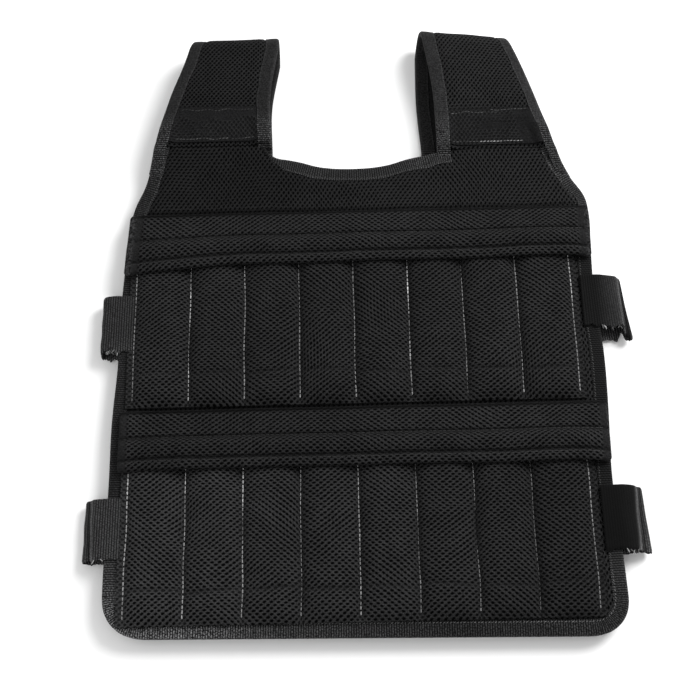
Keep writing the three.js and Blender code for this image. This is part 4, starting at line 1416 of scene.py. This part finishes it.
# Uneven rows of stitches on the patches: height and part of the width as shares, waviness in millimetres
patchSeams = {
    -1: ({"up": 0.075, "part": (0.05, 0.68), "wave": 0.9, "shade": 0.034, "uneven": 1.4},
         {"up": 0.085, "part": (0.68, 0.97), "wave": 0.9, "shade": 0.014, "uneven": 1.3},
         {"up": 0.93, "part": (0.03, 0.97), "wave": 1.0, "shade": 0.011, "uneven": 1.3}),
    1: ({"up": 0.075, "part": (0.32, 0.79), "wave": 0.15, "shade": 0.2, "uneven": 0.3},
        {"up": 0.08, "part": (0.03, 0.32), "wave": 0.8, "shade": 0.025, "uneven": 1.0},
        {"up": 0.9, "part": (0.03, 0.6), "wave": 1.0, "shade": 0.026, "uneven": 1.2},
        {"up": 0.97, "part": (0.5, 0.98), "wave": 0.7, "shade": 0.022, "uneven": 1.1}),
}


def wavyStitches(top, row, seed):
    height, count = top.shape[:2]
    columns = np.arange(int(row["part"][0] * count), int(row["part"][1] * count))
    if top[0, -1, 0] < 0:
        columns = count - 1 - columns[::-1]
    tall = top[-1, 0, 1] - top[0, 0, 1]
    xs = top[0, columns, 0]
    rows = row["up"] * (height - 1) + row["wave"] * ripple(xs, 0.0, 18, seed) * height / tall
    rows = np.clip(rows, 0.5, height - 1.5)
    low = rows.astype(int)
    part = (rows - low)[:, None]
    path, ups = (values[low, columns] * (1 - part) + values[low + 1, columns] * part
                 for values in (top, gridNormals(top)))
    shades = row["shade"] * np.clip(1 + row["uneven"] * ripple(xs, 0.0, 9, seed + 1), 0.1, 3)
    return seamStitches(path, ups, shades, seed, 0.15, length=2.4, step=3.2)


for side in (-1, 1):
    sewn = []
    for n, row in enumerate(patchSeams[side]):
        sewn += wavyStitches(patchTops[side], row, 240 + 3 * n + side)
    joinStitches(f"patch_stitches_{sideWord[side]}", sewn, "woven_patch")


def tapeStitches(path, side, height, into, shade, seed):
    path = resample(inset(path, side * into), 2.5)[0]
    path = path[path[:, 1] < bySide(vest["strapEnd"], path[:, 0]) - 2]
    z = height(path[:, 1]) + tape["half"] * 0.91
    line = np.column_stack([path, z])
    ups = np.zeros_like(line) + (0, 0, 1)
    hem = 1 - smooth(20, 70, path[:, 1])
    shades = shade * (0.25 + 0.75 * hem)
    return seamStitches(line, ups, shades, seed, 0.5, length=1.9, step=2.9, radius=0.34)


def looseThreads(name, count, seed):  # frayed ends along the lower edge of a loop
    row = loopRows[name]
    top, along = loopTops[name]
    draw = np.random.default_rng(seed)
    placed = []
    start = loop["lap"] / along[-1]
    turned = (loop["lap"] + 0.9 * row["fold"] * row["reachLow"]) / along[-1]
    for _ in range(count):
        column = int(between(start, turned, draw.uniform()) * top.shape[1])
        angle = draw.normal(0, 0.5)
        direction = unit(np.array([math.sin(angle), -math.cos(angle), draw.uniform(-0.3, 0.1)]))
        up = unit(np.cross(direction, np.cross((0, 0, 1), direction)))
        length = draw.uniform(2.5, 5.0)
        place = top[0, column] + direction * length * 0.35
        shade = draw.choice((0.03, 0.08, 0.3))
        placed.append((place, direction, np.cross(up, direction), up, shade, length, 0.32))
    return placed


frayed = {"left_upper": 16, "right_upper": 10, "right_lower": 8, "left_lower": 4}
placed = []
for n, (name, count) in enumerate(frayed.items()):
    placed += looseThreads(name, count, 270 + n)
joinStitches("frayed_threads", placed, "webbing")
joinStitches("side_tape_stitches", tapeStitches(frontEdge, 1, frontMiddle, 11.4, 0.10, 250), "binding_tape")
joinStitches("scoop_tape_stitches", tapeStitches(frontNeck, -1, frontMiddle, 11.4, 0.07, 251), "binding_tape")
print("stitches made")
